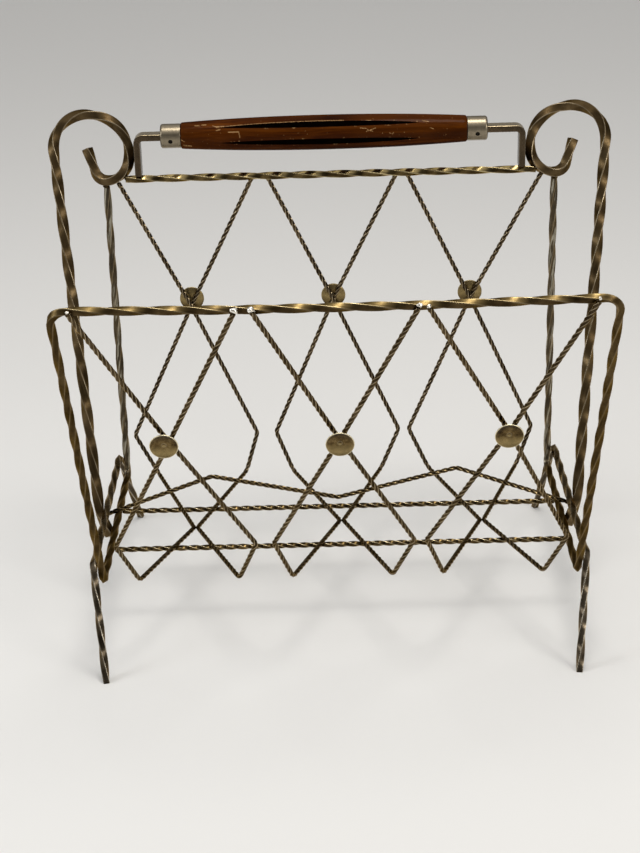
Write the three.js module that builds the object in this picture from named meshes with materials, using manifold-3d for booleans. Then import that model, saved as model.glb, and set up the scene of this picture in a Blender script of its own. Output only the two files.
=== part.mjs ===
// A magazine basket bent and welded from twisted square rod: an upright rear panel, a
// leaning front panel, a floor between them, two splayed leg frames, a scroll at each rear
// corner, a bowed wire divider and a fluted wooden grip over the rear rail.
// Millimetres, +X to the right, +Y to the rear, +Z up, standing on Z = 0.
import * as THREE from "three";
import { mergeVertices } from "three/addons/utils/BufferGeometryUtils.js";
import Module from "manifold-3d";

const wasm = await Module();
wasm.setup();

// Stock: square rod by its side, round wire by its radius, and how long one full twist is
const FRAME_SIDE = 5;
const FRAME_LEAD = 114;
const SCROLL_SIDE = 7.4;
const SCROLL_LEAD = 132;
const FLOOR_SIDE = 3.6;
const FLOOR_LEAD = 41;
const WIRE_RADIUS = 2;
const CLEARANCE = 0.3;

// The frame rod: floor runs, rear uprights, leaning front uprights and the front rim
const FRAME_HALF_WIDTH = 190;
const RIM_SPREAD = 2.6;
const FLOOR_HALF_LENGTH = 104;
const FLOOR_HEIGHT = 66.5;
const FRONT_PANEL_LENGTH = 312.6;
const FRONT_LEAN = THREE.MathUtils.degToRad(27);
const FLOOR_BEND = 8;
const RIM_BEND = 12;
const RIM_SAG = 2.7;
const RIM_LEVEL_SHARE = 1 / 3;

// Rear rail and the scroll arms, drawn in a plane that leans back from the leg bars
const RAIL_HEIGHT = 340.6;
const SHOULDER_RADIUS = 27.8;
const CROWN_FLAT = 4;
const CROWN_RADIUS = 33.3;
const CROWN_TOP = THREE.MathUtils.degToRad(100.5);
const CURL_RADIUS = 10.4;
const CURL_END_LENGTH = 21.1;
const CURL_START = THREE.MathUtils.degToRad(270);
const CURL_STOP = THREE.MathUtils.degToRad(342);

// The hooks were bent by hand, and each side has its own shape
const HOOKS = new Map([
  [-1, { outset: -0.7, rise: 18, radius: 18.6, start: THREE.MathUtils.degToRad(194) }],
  [1, { outset: 0.7, rise: 17.1, radius: 19.9, start: THREE.MathUtils.degToRad(188) }],
]);
const ARM_BEND = 8;
const ARM_FOOT_FORWARD = 6;
const ARM_KNEE_DROP = 5;
const ARM_FOOT_DROP = 17.5;
const ARM_FOOT_REACH = 10;

// Leg frames: a bar along the basket's side with a splayed leg at each end
const LEG_BAR_HEIGHT = 80;
const LEG_BAR_REAR_OVERHANG = 8;
const LEG_SPLAY_FRONT = 45.5;
const LEG_SPLAY_REAR = 40;
const LEG_TUCK_FRONT = 9.5;
const LEG_TUCK_REAR = 11;
const LEG_BEND = 9;

// Floor rails and the divider
const FLOOR_RAIL_SPACING = 74;
const FLOOR_RAIL_SHIFT = -2;
const DIVIDER_SHIFT = 15;
const DIVIDER_LEFT_OVERHANG = 15;
const DIVIDER_RIGHT_OVERHANG = 9;
const DIVIDER_PEAK_SPREAD = 104.5;
const DIVIDER_PEAK_STRAY = -3;
const DIVIDER_LEFT_RISE = 30;
const DIVIDER_RIGHT_RISE = 32.5;
const DIVIDER_VALLEY_RISE = 7.5;
const DIVIDER_BEND = 8;

// Lattice: three columns, each of two mirrored wires that cross under a medallion
const COLUMN_COUNT = 3;
const COLUMN_GAP = 12;
const COLUMN_SIDE_GAP = 13;
const REAR_CROSS_RISE = 159.7;
const REAR_WIDEST_RISE = 37.5;
const FRONT_WIDEST_RISE = 46.5;
const FOLD_INSET = 15;
const KISS_GAP = 0.8;
const KISS_SHIFT = -6.5;
const FRONT_CROSS_RISE = 175.5;
const WIRE_BEND = 6;
const RIM_END_OVERRUN = 2.5;
const RAIL_END_DROP = 1.2;
const HOOK_END_DROP = 4.3;
const CROSSING_GAP = 0.5;

// How far each column of wires strays sideways at each level, left, middle and right
const STRAY_RAIL = [-1.3, 1.3, 0.3];
const STRAY_RAIL_HALF = [2.3, 0.5, 2.7];
const STRAY_REAR_CROSS = [-1.8, 0.3, -2.2];
const STRAY_REAR_RISE = [-1.2, 1.7, -0.5];
const STRAY_REAR_WIDEST = [-4, 1, -2];
const STRAY_KISS = [0.6, 2.6, -0.6];
const STRAY_FRONT_FOLD = [1, 2, 0.5];
const STRAY_FRONT_WIDEST = [1.5, 3.4, 0.9];
const STRAY_FRONT_CROSS = [-1.8, 0.4, 1.3];
const STRAY_FRONT_RISE = [0, -1.6, 4];
const STRAY_MEDALLION = [-2, 1.2, 0.5];
const STRAY_MEDALLION_RISE = [1.5, 0.6, 0];
const STRAY_RIM = [-1.4, 0, -2.2];
const STRAY_RIM_HALF = [0.3, 0.9, 1.6];

// Medallions
const MEDALLION_RADIUS = 10.2;
const MEDALLION_THICKNESS = 0.9;
const MEDALLION_DISH = 1.7;
const MEDALLION_RAISE = 1.5;
const REAR_MEDALLION_RISE = 162.7;
const MEDALLION_TILT = THREE.MathUtils.degToRad(13);

// Handle: flat bent brackets, ferrules with a pin each, and the turned grip
const BRACKET_RUN = 24.7;
const BRACKET_THICKNESS = 5.5;
const BRACKET_DEPTH = 13;
const BRACKET_EDGE = 1.2;
const BRACKET_BEND = 5.2;
const GRIP_RISE = 36.4;
const GRIP_SHIFT = -4.5;
const GRIP_RADIUS = 14.6;
const GRIP_END_RADIUS = 11;
const FERRULE_LENGTH = 17.5;
const FERRULE_RADIUS = 10.2;
const FERRULE_WALL = 0.9;
const FERRULE_CHAMFER = 2;
const TANG_DEPTH = 12;
const PIN_RADIUS = 0.8;
const PIN_HOLE_RADIUS = 1.1;
const PIN_LENGTH = 2.5;
const PIN_RECESS = 0.4;
const PIN_ELEVATION = THREE.MathUtils.degToRad(-15.5);
const FLUTE_COUNT = 6;
const FLUTE_HALF_LENGTH = 83;
const FLUTE_SHIFT = -3;
const FLUTE_RADIUS = 3;
const FLUTE_DEPTH = 1.5;
const FLUTE_ELEVATION = THREE.MathUtils.degToRad(-19);

// Fineness of the meshes
const PATH_STEP = 1.2;
const TWIST_STEP = THREE.MathUtils.degToRad(30);
const FLOOR_TWIST_STEP = THREE.MathUtils.degToRad(45);
const BEND_STEP = THREE.MathUtils.degToRad(17);
const WIRE_SIDES = 6;
const SLIDE_ROUNDS = 14;
const LATHE_SIDES = 20;
const GRIP_SIDES = 30;
const CUT_OVERRUN = 1;

// Sizes that follow from the ones above
const FRAME_CORNER = FRAME_SIDE * Math.SQRT1_2;
const SCROLL_CORNER = SCROLL_SIDE * Math.SQRT1_2;
const FLOOR_CORNER = FLOOR_SIDE * Math.SQRT1_2;
const RIM_HALF_WIDTH = FRAME_HALF_WIDTH + RIM_SPREAD;
const REAR = FLOOR_HALF_LENGTH;
const FRONT = -FLOOR_HALF_LENGTH;
const RIM_Y = FRONT - FRONT_PANEL_LENGTH * Math.sin(FRONT_LEAN);
const RIM_HEIGHT = FLOOR_HEIGHT + FRONT_PANEL_LENGTH * Math.cos(FRONT_LEAN);

// The columns of wire fill the width between the frame's sides
const WIDEST_HALF = (FRAME_HALF_WIDTH - COLUMN_SIDE_GAP - COLUMN_GAP) / COLUMN_COUNT;
const COLUMN_PITCH = 2 * WIDEST_HALF + COLUMN_GAP;
const FOLD_HALF = WIDEST_HALF - FOLD_INSET;

// The hooks stand over the rear uprights, and the handle fits between the crowns
const hookInner = (hand) => crownCentre(hand).x - CROWN_RADIUS - SCROLL_CORNER;
const HOOK_INNER = Math.min(hookInner(-1), hookInner(1));
const BRACKET_HALF_SPREAD = HOOK_INNER - CLEARANCE - BRACKET_THICKNESS / 2;
const GRIP_LENGTH = 2 * (BRACKET_HALF_SPREAD - BRACKET_RUN - FERRULE_LENGTH);
const GRIP_HEIGHT = RAIL_HEIGHT + GRIP_RISE;

const X = new THREE.Vector3(1, 0, 0);
const Y = new THREE.Vector3(0, 1, 0);
const Z = new THREE.Vector3(0, 0, 1);
const UP_FRONT_PANEL = new THREE.Vector3(0, -Math.sin(FRONT_LEAN), Math.cos(FRONT_LEAN));
const OUT_FRONT_PANEL = new THREE.Vector3(0, -Math.cos(FRONT_LEAN), -Math.sin(FRONT_LEAN));

const v3 = (x, y, z) => new THREE.Vector3(x, y, z);
const metal = (color, roughness) =>
  new THREE.MeshStandardMaterial({ color, roughness, metalness: 1 });
const antiqueBrass = metal(0x8b7346, 0.38);
const darkBrass = metal(0x6f5f43, 0.42);
const satinNickel = metal(0xa89c86, 0.35);
const darkSteel = metal(0x2c2823, 0.5);
const lacqueredWood = new THREE.MeshStandardMaterial({
  color: 0x6a3216,
  roughness: 0.3,
  metalness: 0,
});

const basket = new THREE.Group();
function place(name, geometry, material) {
  const mesh = new THREE.Mesh(geometry, material);
  mesh.name = name;
  basket.add(mesh);
}

// Paths
function runTo(path, end) {
  const start = path[path.length - 1].at;
  const steps = Math.max(1, Math.ceil(start.distanceTo(end) / PATH_STEP));
  for (let i = 1; i <= steps; i++)
    path.push({ at: start.clone().lerp(end, i / steps), keep: i === steps });
}

// Straight runs joined by round bends, from a list of corners with their bend radii
function bentPath(corners, path = [{ at: corners[0].at, keep: true }]) {
  for (let i = 1; i < corners.length - 1; i++) {
    const { at, bend } = corners[i];
    const into = at.clone().sub(corners[i - 1].at).normalize();
    const away = corners[i + 1].at.clone().sub(at).normalize();
    const turn = into.angleTo(away);
    const start = at.clone().addScaledVector(into, -bend * Math.tan(turn / 2));
    const inward = away.clone().addScaledVector(into, -away.dot(into)).normalize();
    const centre = start.clone().addScaledVector(inward, bend);
    runTo(path, start);
    const steps = Math.max(2, Math.ceil((turn * bend) / PATH_STEP));
    for (let k = 1; k <= steps; k++) {
      const a = (turn * k) / steps;
      const point = centre.clone().addScaledVector(inward, -bend * Math.cos(a));
      path.push({ at: point.addScaledVector(into, bend * Math.sin(a)), keep: k === steps });
    }
  }
  runTo(path, corners[corners.length - 1].at);
  return path;
}

const mirrored = (path) => path.map(({ at, keep }) => ({ at: v3(-at.x, at.y, at.z), keep }));

// Sections, as points around the rod's axis
const squareSection = (side) =>
  [[-1, -1], [1, -1], [1, 1], [-1, 1]].map(([a, b]) => [(a * side) / 2, (b * side) / 2]);
function roundSection(radius, sides) {
  const angle = (i) => (2 * Math.PI * i) / sides;
  return Array.from({ length: sides }, (_, i) => [
    radius * Math.cos(angle(i)),
    radius * Math.sin(angle(i)),
  ]);
}
function flatSection(width, height, edge) {
  const a = width / 2;
  const b = height / 2;
  const quarter = [[a, b - edge], [a - edge, b]];
  const half = [...quarter, ...quarter.map(([x, y]) => [-x, y]).reverse()];
  return [...half, ...half.map(([x, y]) => [-x, -y])];
}

function nearest(stations, point) {
  return stations.reduce((best, station) =>
    station.at.distanceTo(point) < best.at.distanceTo(point) ? station : best,
  );
}

// A rod: its section carried along its path, turning once in every lead, flat at one point
function rod(path, section, { lead = Infinity, hand = 1, across = X, flatAt } = {}) {
  const stations = [];
  let travelled = 0;
  let side = across.clone();
  path.forEach(({ at, keep }, i) => {
    const before = path[Math.max(i - 1, 0)].at;
    const after = path[Math.min(i + 1, path.length - 1)].at;
    const along = after.clone().sub(before).normalize();
    travelled += at.distanceTo(before);
    side = side.clone().addScaledVector(along, -side.dot(along)).normalize();
    const twist = (hand * 2 * Math.PI * travelled) / lead;
    stations.push({ at, keep, along, side, up: along.clone().cross(side), twist });
  });
  if (flatAt) {
    const start = nearest(stations, flatAt).twist;
    for (const station of stations) station.twist -= start;
  }
  return { stations, section };
}

function ringAt(section, { at, side, up, twist }) {
  const c = Math.cos(twist);
  const s = Math.sin(twist);
  return section.map(([a, b]) =>
    at.clone().addScaledVector(side, a * c - b * s).addScaledVector(up, a * s + b * c),
  );
}

// How far a rod reaches from its axis in one direction, close to a point
function reach(bar, point, direction, spread) {
  const gaps = bar.stations.map((station) => station.at.distanceTo(point));
  const limit = Math.min(...gaps) + spread;
  const near = bar.stations.filter((_, i) => gaps[i] <= limit);
  const spans = near.flatMap((station) =>
    ringAt(bar.section, station).map((corner) => corner.sub(station.at).dot(direction)),
  );
  return Math.max(...spans);
}

function solidOfRings(rings) {
  const sides = rings[0].length;
  const corner = (i, j) => i * sides + (j % sides);
  const faces = [];
  for (let i = 0; i < rings.length - 1; i++)
    for (let j = 0; j < sides; j++) {
      const quad = [corner(i, j), corner(i, j + 1), corner(i + 1, j + 1), corner(i + 1, j)];
      // Every other quad is split the other way, so that a twisted face neither swells nor sinks
      const order = (i + j) % 2 ? [0, 1, 2, 0, 2, 3] : [0, 1, 3, 1, 2, 3];
      faces.push(...order.map((k) => quad[k]));
    }
  const last = rings.length - 1;
  for (let j = 1; j < sides - 1; j++) {
    faces.push(corner(0, 0), corner(0, j + 1), corner(0, j));
    faces.push(corner(last, 0), corner(last, j), corner(last, j + 1));
  }
  const geometry = new THREE.BufferGeometry().setFromPoints(rings.flat());
  geometry.setIndex(faces);
  geometry.computeVertexNormals();
  return geometry;
}

// The rod's mesh: rings only where it bends or twists; its ends can be cut level with the floor
function rodGeometry({ stations, section }, { twistStep = TWIST_STEP, level = false } = {}) {
  const kept = [stations[0]];
  for (const station of stations.slice(1, -1)) {
    const last = kept[kept.length - 1];
    const twisted = Math.abs(station.twist - last.twist) >= twistStep;
    const bent = station.along.angleTo(last.along) >= BEND_STEP;
    if (station.keep || twisted || bent) kept.push(station);
  }
  kept.push(stations[stations.length - 1]);
  const rings = kept.map((station) => ringAt(section, station));
  if (level)
    for (const i of [0, rings.length - 1])
      for (const p of rings[i]) p.addScaledVector(kept[i].along, -p.z / kept[i].along.z);
  return solidOfRings(rings);
}

// Solids for cuts
function toSolid(geometry) {
  const bare = geometry.clone();
  bare.deleteAttribute("normal");
  bare.deleteAttribute("uv");
  const merged = mergeVertices(bare);
  return new wasm.Manifold(
    new wasm.Mesh({
      numProp: 3,
      vertProperties: merged.attributes.position.array,
      triVerts: new Uint32Array(merged.index.array),
    }),
  );
}
function toGeometry(solid) {
  const { vertProperties, triVerts } = solid.getMesh();
  const geometry = new THREE.BufferGeometry();
  geometry.setAttribute("position", new THREE.BufferAttribute(vertProperties, 3));
  geometry.setIndex(new THREE.BufferAttribute(triVerts, 1));
  geometry.computeVertexNormals();
  return geometry;
}

// Slides a solid until it stands one clearance from its neighbours, and returns how far
function slideTo(solid, direction, neighbours, range) {
  let clear = -range;
  let touching = range;
  for (let i = 0; i < SLIDE_ROUNDS; i++) {
    const trial = (clear + touching) / 2;
    const moved = solid.translate(direction.clone().multiplyScalar(trial).toArray());
    const gap = Math.min(...neighbours.map((other) => moved.minGap(other, range)));
    if (gap < CLEARANCE) touching = trial;
    else clear = trial;
  }
  return clear;
}
function settle(geometry, direction, neighbours, range) {
  const distance = slideTo(toSolid(geometry), direction, neighbours, range);
  return geometry.translate(...direction.clone().multiplyScalar(distance).toArray());
}

// Basket frame: one rod, up the left rear, round the floor and the rim, and back
const rimAt = (x) => v3(x, RIM_Y, RIM_HEIGHT).addScaledVector(UP_FRONT_PANEL, -rimDrop(x));
const frameHalf = (hand) =>
  bentPath([
    { at: v3(-FRAME_HALF_WIDTH, REAR, uprightTop(hand)) },
    { at: v3(-FRAME_HALF_WIDTH, REAR, FLOOR_HEIGHT), bend: FLOOR_BEND },
    { at: v3(-FRAME_HALF_WIDTH, FRONT, FLOOR_HEIGHT), bend: FLOOR_BEND },
    { at: rimAt(-RIM_HALF_WIDTH), bend: RIM_BEND },
    { at: rimAt(-RIM_HALF_WIDTH * RIM_LEVEL_SHARE), bend: RIM_HALF_WIDTH },
    { at: rimAt(0) },
  ]);
const framePath = [...frameHalf(-1), ...mirrored(frameHalf(1)).reverse().slice(1)];
const frameSection = squareSection(FRAME_SIDE);
const rimMiddle = rimAt(0);
const frame = rod(framePath, frameSection, { lead: FRAME_LEAD, flatAt: rimMiddle });
const frameShape = rodGeometry(frame);
const frameSolid = toSolid(frameShape);

// The rim sags from its corners to its middle
function rimDrop(x) {
  const fall = (RIM_HALF_WIDTH - Math.abs(x)) / (RIM_HALF_WIDTH * (1 - RIM_LEVEL_SHARE));
  return RIM_SAG * Math.min(1, fall);
}

// The rear uprights end under the lowest point of the hooks
function uprightTop(hand) {
  const hookBottom = hookCentre(hand).y - HOOKS.get(hand).radius;
  return RAIL_HEIGHT + hookBottom * Math.cos(armLean()) - SCROLL_CORNER - CLEARANCE;
}

// Scroll plane: it leans back from the leg bars to the rear rail
function armLean() {
  const rise = RAIL_HEIGHT - LEG_BAR_HEIGHT + ARM_KNEE_DROP;
  return Math.atan2(REAR - ARM_FOOT_FORWARD, rise);
}
function hookCentre(hand) {
  const { outset, rise } = HOOKS.get(hand);
  return new THREE.Vector2(FRAME_HALF_WIDTH + outset, rise);
}
function crownCentre(hand) {
  const { radius, start } = HOOKS.get(hand);
  const inset = CROWN_RADIUS - radius;
  const toHook = new THREE.Vector2(inset * Math.cos(start), inset * Math.sin(start));
  return hookCentre(hand).sub(toHook);
}

// Leg frames, seated against the outside of the front and rear uprights
function legPath(outward) {
  const rear = REAR + LEG_BAR_REAR_OVERHANG;
  return bentPath([
    { at: v3(outward - LEG_TUCK_FRONT, FRONT - LEG_SPLAY_FRONT, 0) },
    { at: v3(outward, FRONT, LEG_BAR_HEIGHT), bend: LEG_BEND },
    { at: v3(outward, rear, LEG_BAR_HEIGHT), bend: LEG_BEND },
    { at: v3(outward - LEG_TUCK_REAR, rear + LEG_SPLAY_REAR, 0) },
  ]);
}
function legOffset() {
  const trial = rod(legPath(0), frameSection, { lead: FRAME_LEAD });
  const contactHeight = (LEG_BAR_HEIGHT + FLOOR_HEIGHT) / 2;
  const drop = (LEG_BAR_HEIGHT - contactHeight) / LEG_BAR_HEIGHT;
  const front = v3(0, FRONT, contactHeight);
  const rear = v3(0, REAR, LEG_BAR_HEIGHT);
  const side = v3(FRAME_HALF_WIDTH, 0, 0);
  const seat = (point) =>
    reach(frame, point.clone().add(side), X, FRAME_SIDE) +
    reach(trial, point, X.clone().negate(), FRAME_SIDE);
  return FRAME_HALF_WIDTH + CLEARANCE + Math.max(seat(front) + drop * LEG_TUCK_FRONT, seat(rear));
}
const legX = legOffset();
const inward = (hand) => v3(-hand, 0, 0);
const legShape = (hand) => {
  const path = hand > 0 ? legPath(legX) : mirrored(legPath(legX));
  const flatAt = v3(hand * legX, ARM_FOOT_FORWARD, LEG_BAR_HEIGHT);
  const leg = rodGeometry(rod(path, frameSection, { lead: FRAME_LEAD, hand, flatAt }), {
    level: true,
  });
  return settle(leg, inward(hand), [frameSolid], FRAME_SIDE);
};
const legShapes = new Map([[-1, legShape(-1)], [1, legShape(1)]]);

// Scroll arms: free end, curl, hook, crown, shoulder, then straight down past the leg bar to the
// floor run
function armPath(hand) {
  const lean = armLean();
  const { radius, start: hookStart } = HOOKS.get(hand);
  const hook = hookCentre(hand);
  const curlInset = radius - CURL_RADIUS;
  const curl = hook.clone();
  curl.x += curlInset * Math.cos(CURL_START);
  curl.y += curlInset * Math.sin(CURL_START);
  const crown = crownCentre(hand);
  const shoulderInset = CROWN_RADIUS - SHOULDER_RADIUS;
  const shoulder = crown.clone();
  shoulder.x += shoulderInset * Math.cos(CROWN_TOP) + CROWN_FLAT * Math.sin(CROWN_TOP);
  shoulder.y += shoulderInset * Math.sin(CROWN_TOP) - CROWN_FLAT * Math.cos(CROWN_TOP);
  const inPlane = (u, v) => v3(u, REAR + v * Math.sin(lean), RAIL_HEIGHT + v * Math.cos(lean));
  const onArc = (centre, radius, angle) =>
    inPlane(centre.x + radius * Math.cos(angle), centre.y + radius * Math.sin(angle));

  const kneeX = legX + FRAME_SIDE / 2 + CLEARANCE + SCROLL_SIDE / 2;
  const kneeHeight = LEG_BAR_HEIGHT - ARM_KNEE_DROP;
  const knee = v3(kneeX, ARM_FOOT_FORWARD, kneeHeight);

  // The foot leans in until it lies against the floor run
  const a = kneeX - FRAME_HALF_WIDTH;
  const b = kneeHeight - FLOOR_HEIGHT;
  const d = SCROLL_CORNER + FRAME_CORNER + CLEARANCE;
  const footLean = Math.acos(d / Math.hypot(a, b)) - Math.atan2(b, a);
  const toe = knee.clone().sub(v3(ARM_FOOT_DROP * Math.tan(footLean), ARM_FOOT_REACH, ARM_FOOT_DROP));

  // Where the straight run leaves the shoulder towards the knee
  const kneeRise = -(RAIL_HEIGHT - kneeHeight) / Math.cos(lean);
  const kneeFromShoulder = new THREE.Vector2(kneeX, kneeRise).sub(shoulder);
  const bearing = Math.atan2(kneeFromShoulder.y, kneeFromShoulder.x);
  const leave = bearing + Math.acos(SHOULDER_RADIUS / kneeFromShoulder.length());

  const start = onArc(curl, CURL_RADIUS, CURL_STOP);
  const endDirection = inPlane(-Math.sin(CURL_STOP), Math.cos(CURL_STOP)).sub(inPlane(0, 0));
  const path = [{ at: start.clone().addScaledVector(endDirection, CURL_END_LENGTH), keep: true }];
  runTo(path, start);
  const addArc = (centre, radius, from, to) => {
    const steps = Math.ceil((Math.abs(to - from) * radius) / PATH_STEP);
    for (let k = 1; k <= steps; k++)
      path.push({ at: onArc(centre, radius, from + ((to - from) * k) / steps), keep: k === steps });
  };
  addArc(curl, CURL_RADIUS, CURL_STOP, CURL_START);
  addArc(hook, radius, CURL_START, hookStart);
  addArc(crown, CROWN_RADIUS, hookStart, CROWN_TOP);
  runTo(path, onArc(shoulder, SHOULDER_RADIUS, CROWN_TOP));
  addArc(shoulder, SHOULDER_RADIUS, CROWN_TOP, leave);
  const from = path[path.length - 1].at;
  return bentPath([{ at: from }, { at: knee, bend: ARM_BEND }, { at: toe }], path);
}
const scrollSection = squareSection(SCROLL_SIDE);
const armShape = (hand) => {
  const path = hand > 0 ? armPath(hand) : mirrored(armPath(hand));
  const flatAt = v3(hand * legX, ARM_FOOT_FORWARD, LEG_BAR_HEIGHT);
  const arm = rodGeometry(rod(path, scrollSection, { lead: SCROLL_LEAD, hand, flatAt }));
  return settle(arm, inward(hand), [toSolid(legShapes.get(hand)), frameSolid], SCROLL_SIDE);
};
const armShapes = new Map([[-1, armShape(-1)], [1, armShape(1)]]);

// A straight rail, each end shortened until it is clear of the pieces beside it
function railBetween(y, z, halfLength, section, lead, twistStep, neighbours) {
  const middle = v3(0, y, z);
  const railTo = (left, right) => {
    const path = bentPath([{ at: v3(-left, y, z) }, { at: middle }]);
    runTo(path, v3(right, y, z));
    return rod(path, section, { lead, across: Y, flatAt: middle });
  };
  const clearEnd = (hand) => {
    for (let end = halfLength; end > section[2][0]; end -= CLEARANCE / 2) {
      const rail = hand > 0 ? railTo(section[2][0], end) : railTo(end, section[2][0]);
      const solid = toSolid(rodGeometry(rail, { twistStep }));
      if (neighbours.every((other) => solid.minGap(other, FRAME_SIDE) >= CLEARANCE)) return end;
    }
    throw new Error("the rail finds no room");
  };
  return railTo(clearEnd(-1), clearEnd(1));
}

// Rear rail, from hook to hook
const armSolid = (hand) => toSolid(armShapes.get(hand));
const rearRail = railBetween(
  REAR,
  RAIL_HEIGHT,
  FRAME_HALF_WIDTH,
  frameSection,
  FRAME_LEAD,
  TWIST_STEP,
  [armSolid(-1), armSolid(1)],
);

// Floor rails, end to end between the floor runs and close under the lattice
const floorSection = squareSection(FLOOR_SIDE);
const floorRailHeight = FLOOR_HEIGHT - WIRE_RADIUS - CLEARANCE - FLOOR_CORNER;
const floorRail = (y) =>
  railBetween(
    y,
    floorRailHeight,
    FRAME_HALF_WIDTH,
    floorSection,
    FLOOR_LEAD,
    FLOOR_TWIST_STEP,
    [frameSolid],
  );

// Divider: a low zigzag that rests on both floor runs
const wireSection = roundSection(WIRE_RADIUS, WIRE_SIDES);
function dividerShape() {
  const touch = v3(FRAME_HALF_WIDTH, DIVIDER_SHIFT, FLOOR_HEIGHT);
  const seat = FLOOR_HEIGHT + reach(frame, touch, Z, WIRE_RADIUS) + CLEARANCE + WIRE_RADIUS;
  const slope = DIVIDER_LEFT_RISE / (FRAME_HALF_WIDTH - DIVIDER_PEAK_SPREAD);
  const lift = seat + FRAME_CORNER * slope;
  const left = DIVIDER_LEFT_OVERHANG;
  const right = DIVIDER_RIGHT_OVERHANG;
  const at = (x, rise) => v3(x, DIVIDER_SHIFT, lift + rise);
  const peak = (hand, rise) => at(hand * DIVIDER_PEAK_SPREAD + DIVIDER_PEAK_STRAY, rise);
  const path = bentPath([
    { at: at(-FRAME_HALF_WIDTH - left, -left * slope) },
    { at: peak(-1, DIVIDER_LEFT_RISE), bend: DIVIDER_BEND },
    { at: at(0, DIVIDER_VALLEY_RISE), bend: DIVIDER_BEND },
    { at: peak(1, DIVIDER_RIGHT_RISE), bend: DIVIDER_BEND },
    { at: at(FRAME_HALF_WIDTH + right, -right * slope) },
  ]);
  const wire = rodGeometry(rod(path, wireSection, { across: Y }));
  return settle(wire, Z.clone().negate(), [frameSolid], FRAME_SIDE);
}

// Lattice wires: the crossing wires pass each other with the running clearance
const crossOffset = WIRE_RADIUS + CROSSING_GAP / 2;
function latticePath(column, hand) {
  const middle = column * COLUMN_PITCH;
  const stray = (list) => list[column + 1];
  const rimHalf = WIDEST_HALF + stray(STRAY_RIM_HALF);
  const rimX = middle + hand * rimHalf + stray(STRAY_RIM);
  const rimTouch = rimAt(rimX);
  const rimOut = reach(frame, rimTouch, OUT_FRONT_PANEL, WIRE_RADIUS) + CLEARANCE + WIRE_RADIUS;
  const railHalf = WIDEST_HALF + stray(STRAY_RAIL_HALF);
  const railTouch = v3(middle + hand * railHalf, REAR, RAIL_HEIGHT);
  const railOut = reach(rearRail, railTouch, Y, WIRE_RADIUS) + CLEARANCE + WIRE_RADIUS;
  const rearHeight = RAIL_HEIGHT - FLOOR_HEIGHT;
  const x = (half, astray) => middle + hand * half + astray;
  const rear = (half, rise, extra, astray) =>
    v3(x(half, astray), REAR + (railOut * rise) / rearHeight + extra, FLOOR_HEIGHT + rise);
  const front = (half, rise, extra, astray) =>
    v3(x(half, astray), FRONT, FLOOR_HEIGHT)
      .addScaledVector(UP_FRONT_PANEL, rise)
      .addScaledVector(OUT_FRONT_PANEL, (rimOut * rise) / FRONT_PANEL_LENGTH + extra);
  const kiss = KISS_GAP / 2 + WIRE_RADIUS;
  const cross = hand * crossOffset;
  // The outermost wires end under the hooks, the others behind the rail
  const outermost = column * hand > 0;
  const rearTop = rearHeight - (outermost ? HOOK_END_DROP : RAIL_END_DROP);
  const rearCross = REAR_CROSS_RISE + stray(STRAY_REAR_RISE);
  const frontTop = FRONT_PANEL_LENGTH - rimDrop(rimX) + RIM_END_OVERRUN;
  const frontCross = FRONT_CROSS_RISE + stray(STRAY_FRONT_RISE);
  const widestRear = rear(-WIDEST_HALF, REAR_WIDEST_RISE, 0, stray(STRAY_REAR_WIDEST));
  const widestFront = front(-WIDEST_HALF, FRONT_WIDEST_RISE, 0, stray(STRAY_FRONT_WIDEST));
  const kissing = v3(x(-kiss, stray(STRAY_KISS)), KISS_SHIFT, FLOOR_HEIGHT);
  return bentPath([
    { at: rear(railHalf, rearTop, 0, stray(STRAY_RAIL)) },
    { at: rear(0, rearCross, cross, stray(STRAY_REAR_CROSS)), bend: WIRE_BEND },
    { at: widestRear, bend: WIRE_BEND },
    { at: rear(-FOLD_HALF, 0, 0, 0), bend: FLOOR_BEND },
    { at: kissing, bend: WIRE_BEND },
    { at: front(-FOLD_HALF, 0, 0, stray(STRAY_FRONT_FOLD)), bend: FLOOR_BEND },
    { at: widestFront, bend: WIRE_BEND },
    { at: front(0, frontCross, cross, stray(STRAY_FRONT_CROSS)), bend: WIRE_BEND },
    { at: front(rimHalf, frontTop, 0, stray(STRAY_RIM)) },
  ]);
}

// Medallions: dished discs whose rounded backs rest on the crossings
function medallionGeometry() {
  const rim = MEDALLION_RADIUS;
  const dish = (share, lift) =>
    new THREE.Vector2(rim * share, MEDALLION_DISH * share * share + lift);
  const dishShares = [0, 0.4, 0.75, 1];
  const back = dishShares.map((share) => dish(share, 0));
  const face = dishShares.map((share) => dish(share, MEDALLION_THICKNESS)).reverse();
  return new THREE.LatheGeometry([...back, ...face], LATHE_SIDES);
}
const medallionGap = crossOffset + WIRE_RADIUS + CLEARANCE;
function medallion(name, column, front, wires) {
  const frontRaise = MEDALLION_RAISE + STRAY_MEDALLION_RISE[column + 1];
  const frontRise = FRONT_CROSS_RISE + STRAY_FRONT_RISE[column + 1] + frontRaise;
  const rise = front ? frontRise : REAR_MEDALLION_RISE;
  const frontStray = STRAY_FRONT_CROSS[column + 1] + STRAY_MEDALLION[column + 1];
  const stray = front ? frontStray : STRAY_REAR_CROSS[column + 1];
  const outward = front ? OUT_FRONT_PANEL : Y;
  const facing = outward.clone().applyAxisAngle(X, front ? -MEDALLION_TILT : 0);
  const up = front ? UP_FRONT_PANEL : Z;
  const away = front ? panelLift(FRONT_CROSS_RISE) : railLift(REAR_CROSS_RISE);
  const across = column * COLUMN_PITCH + stray;
  const centre = v3(across, front ? FRONT : REAR, FLOOR_HEIGHT)
    .addScaledVector(up, rise)
    .addScaledVector(outward, away + medallionGap);
  const geometry = medallionGeometry()
    .applyQuaternion(new THREE.Quaternion().setFromUnitVectors(Y, facing))
    .translate(centre.x, centre.y, centre.z);
  const toWires = outward.clone().negate();
  place(name, settle(geometry, toWires, wires, MEDALLION_DISH), antiqueBrass);
}
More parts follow.
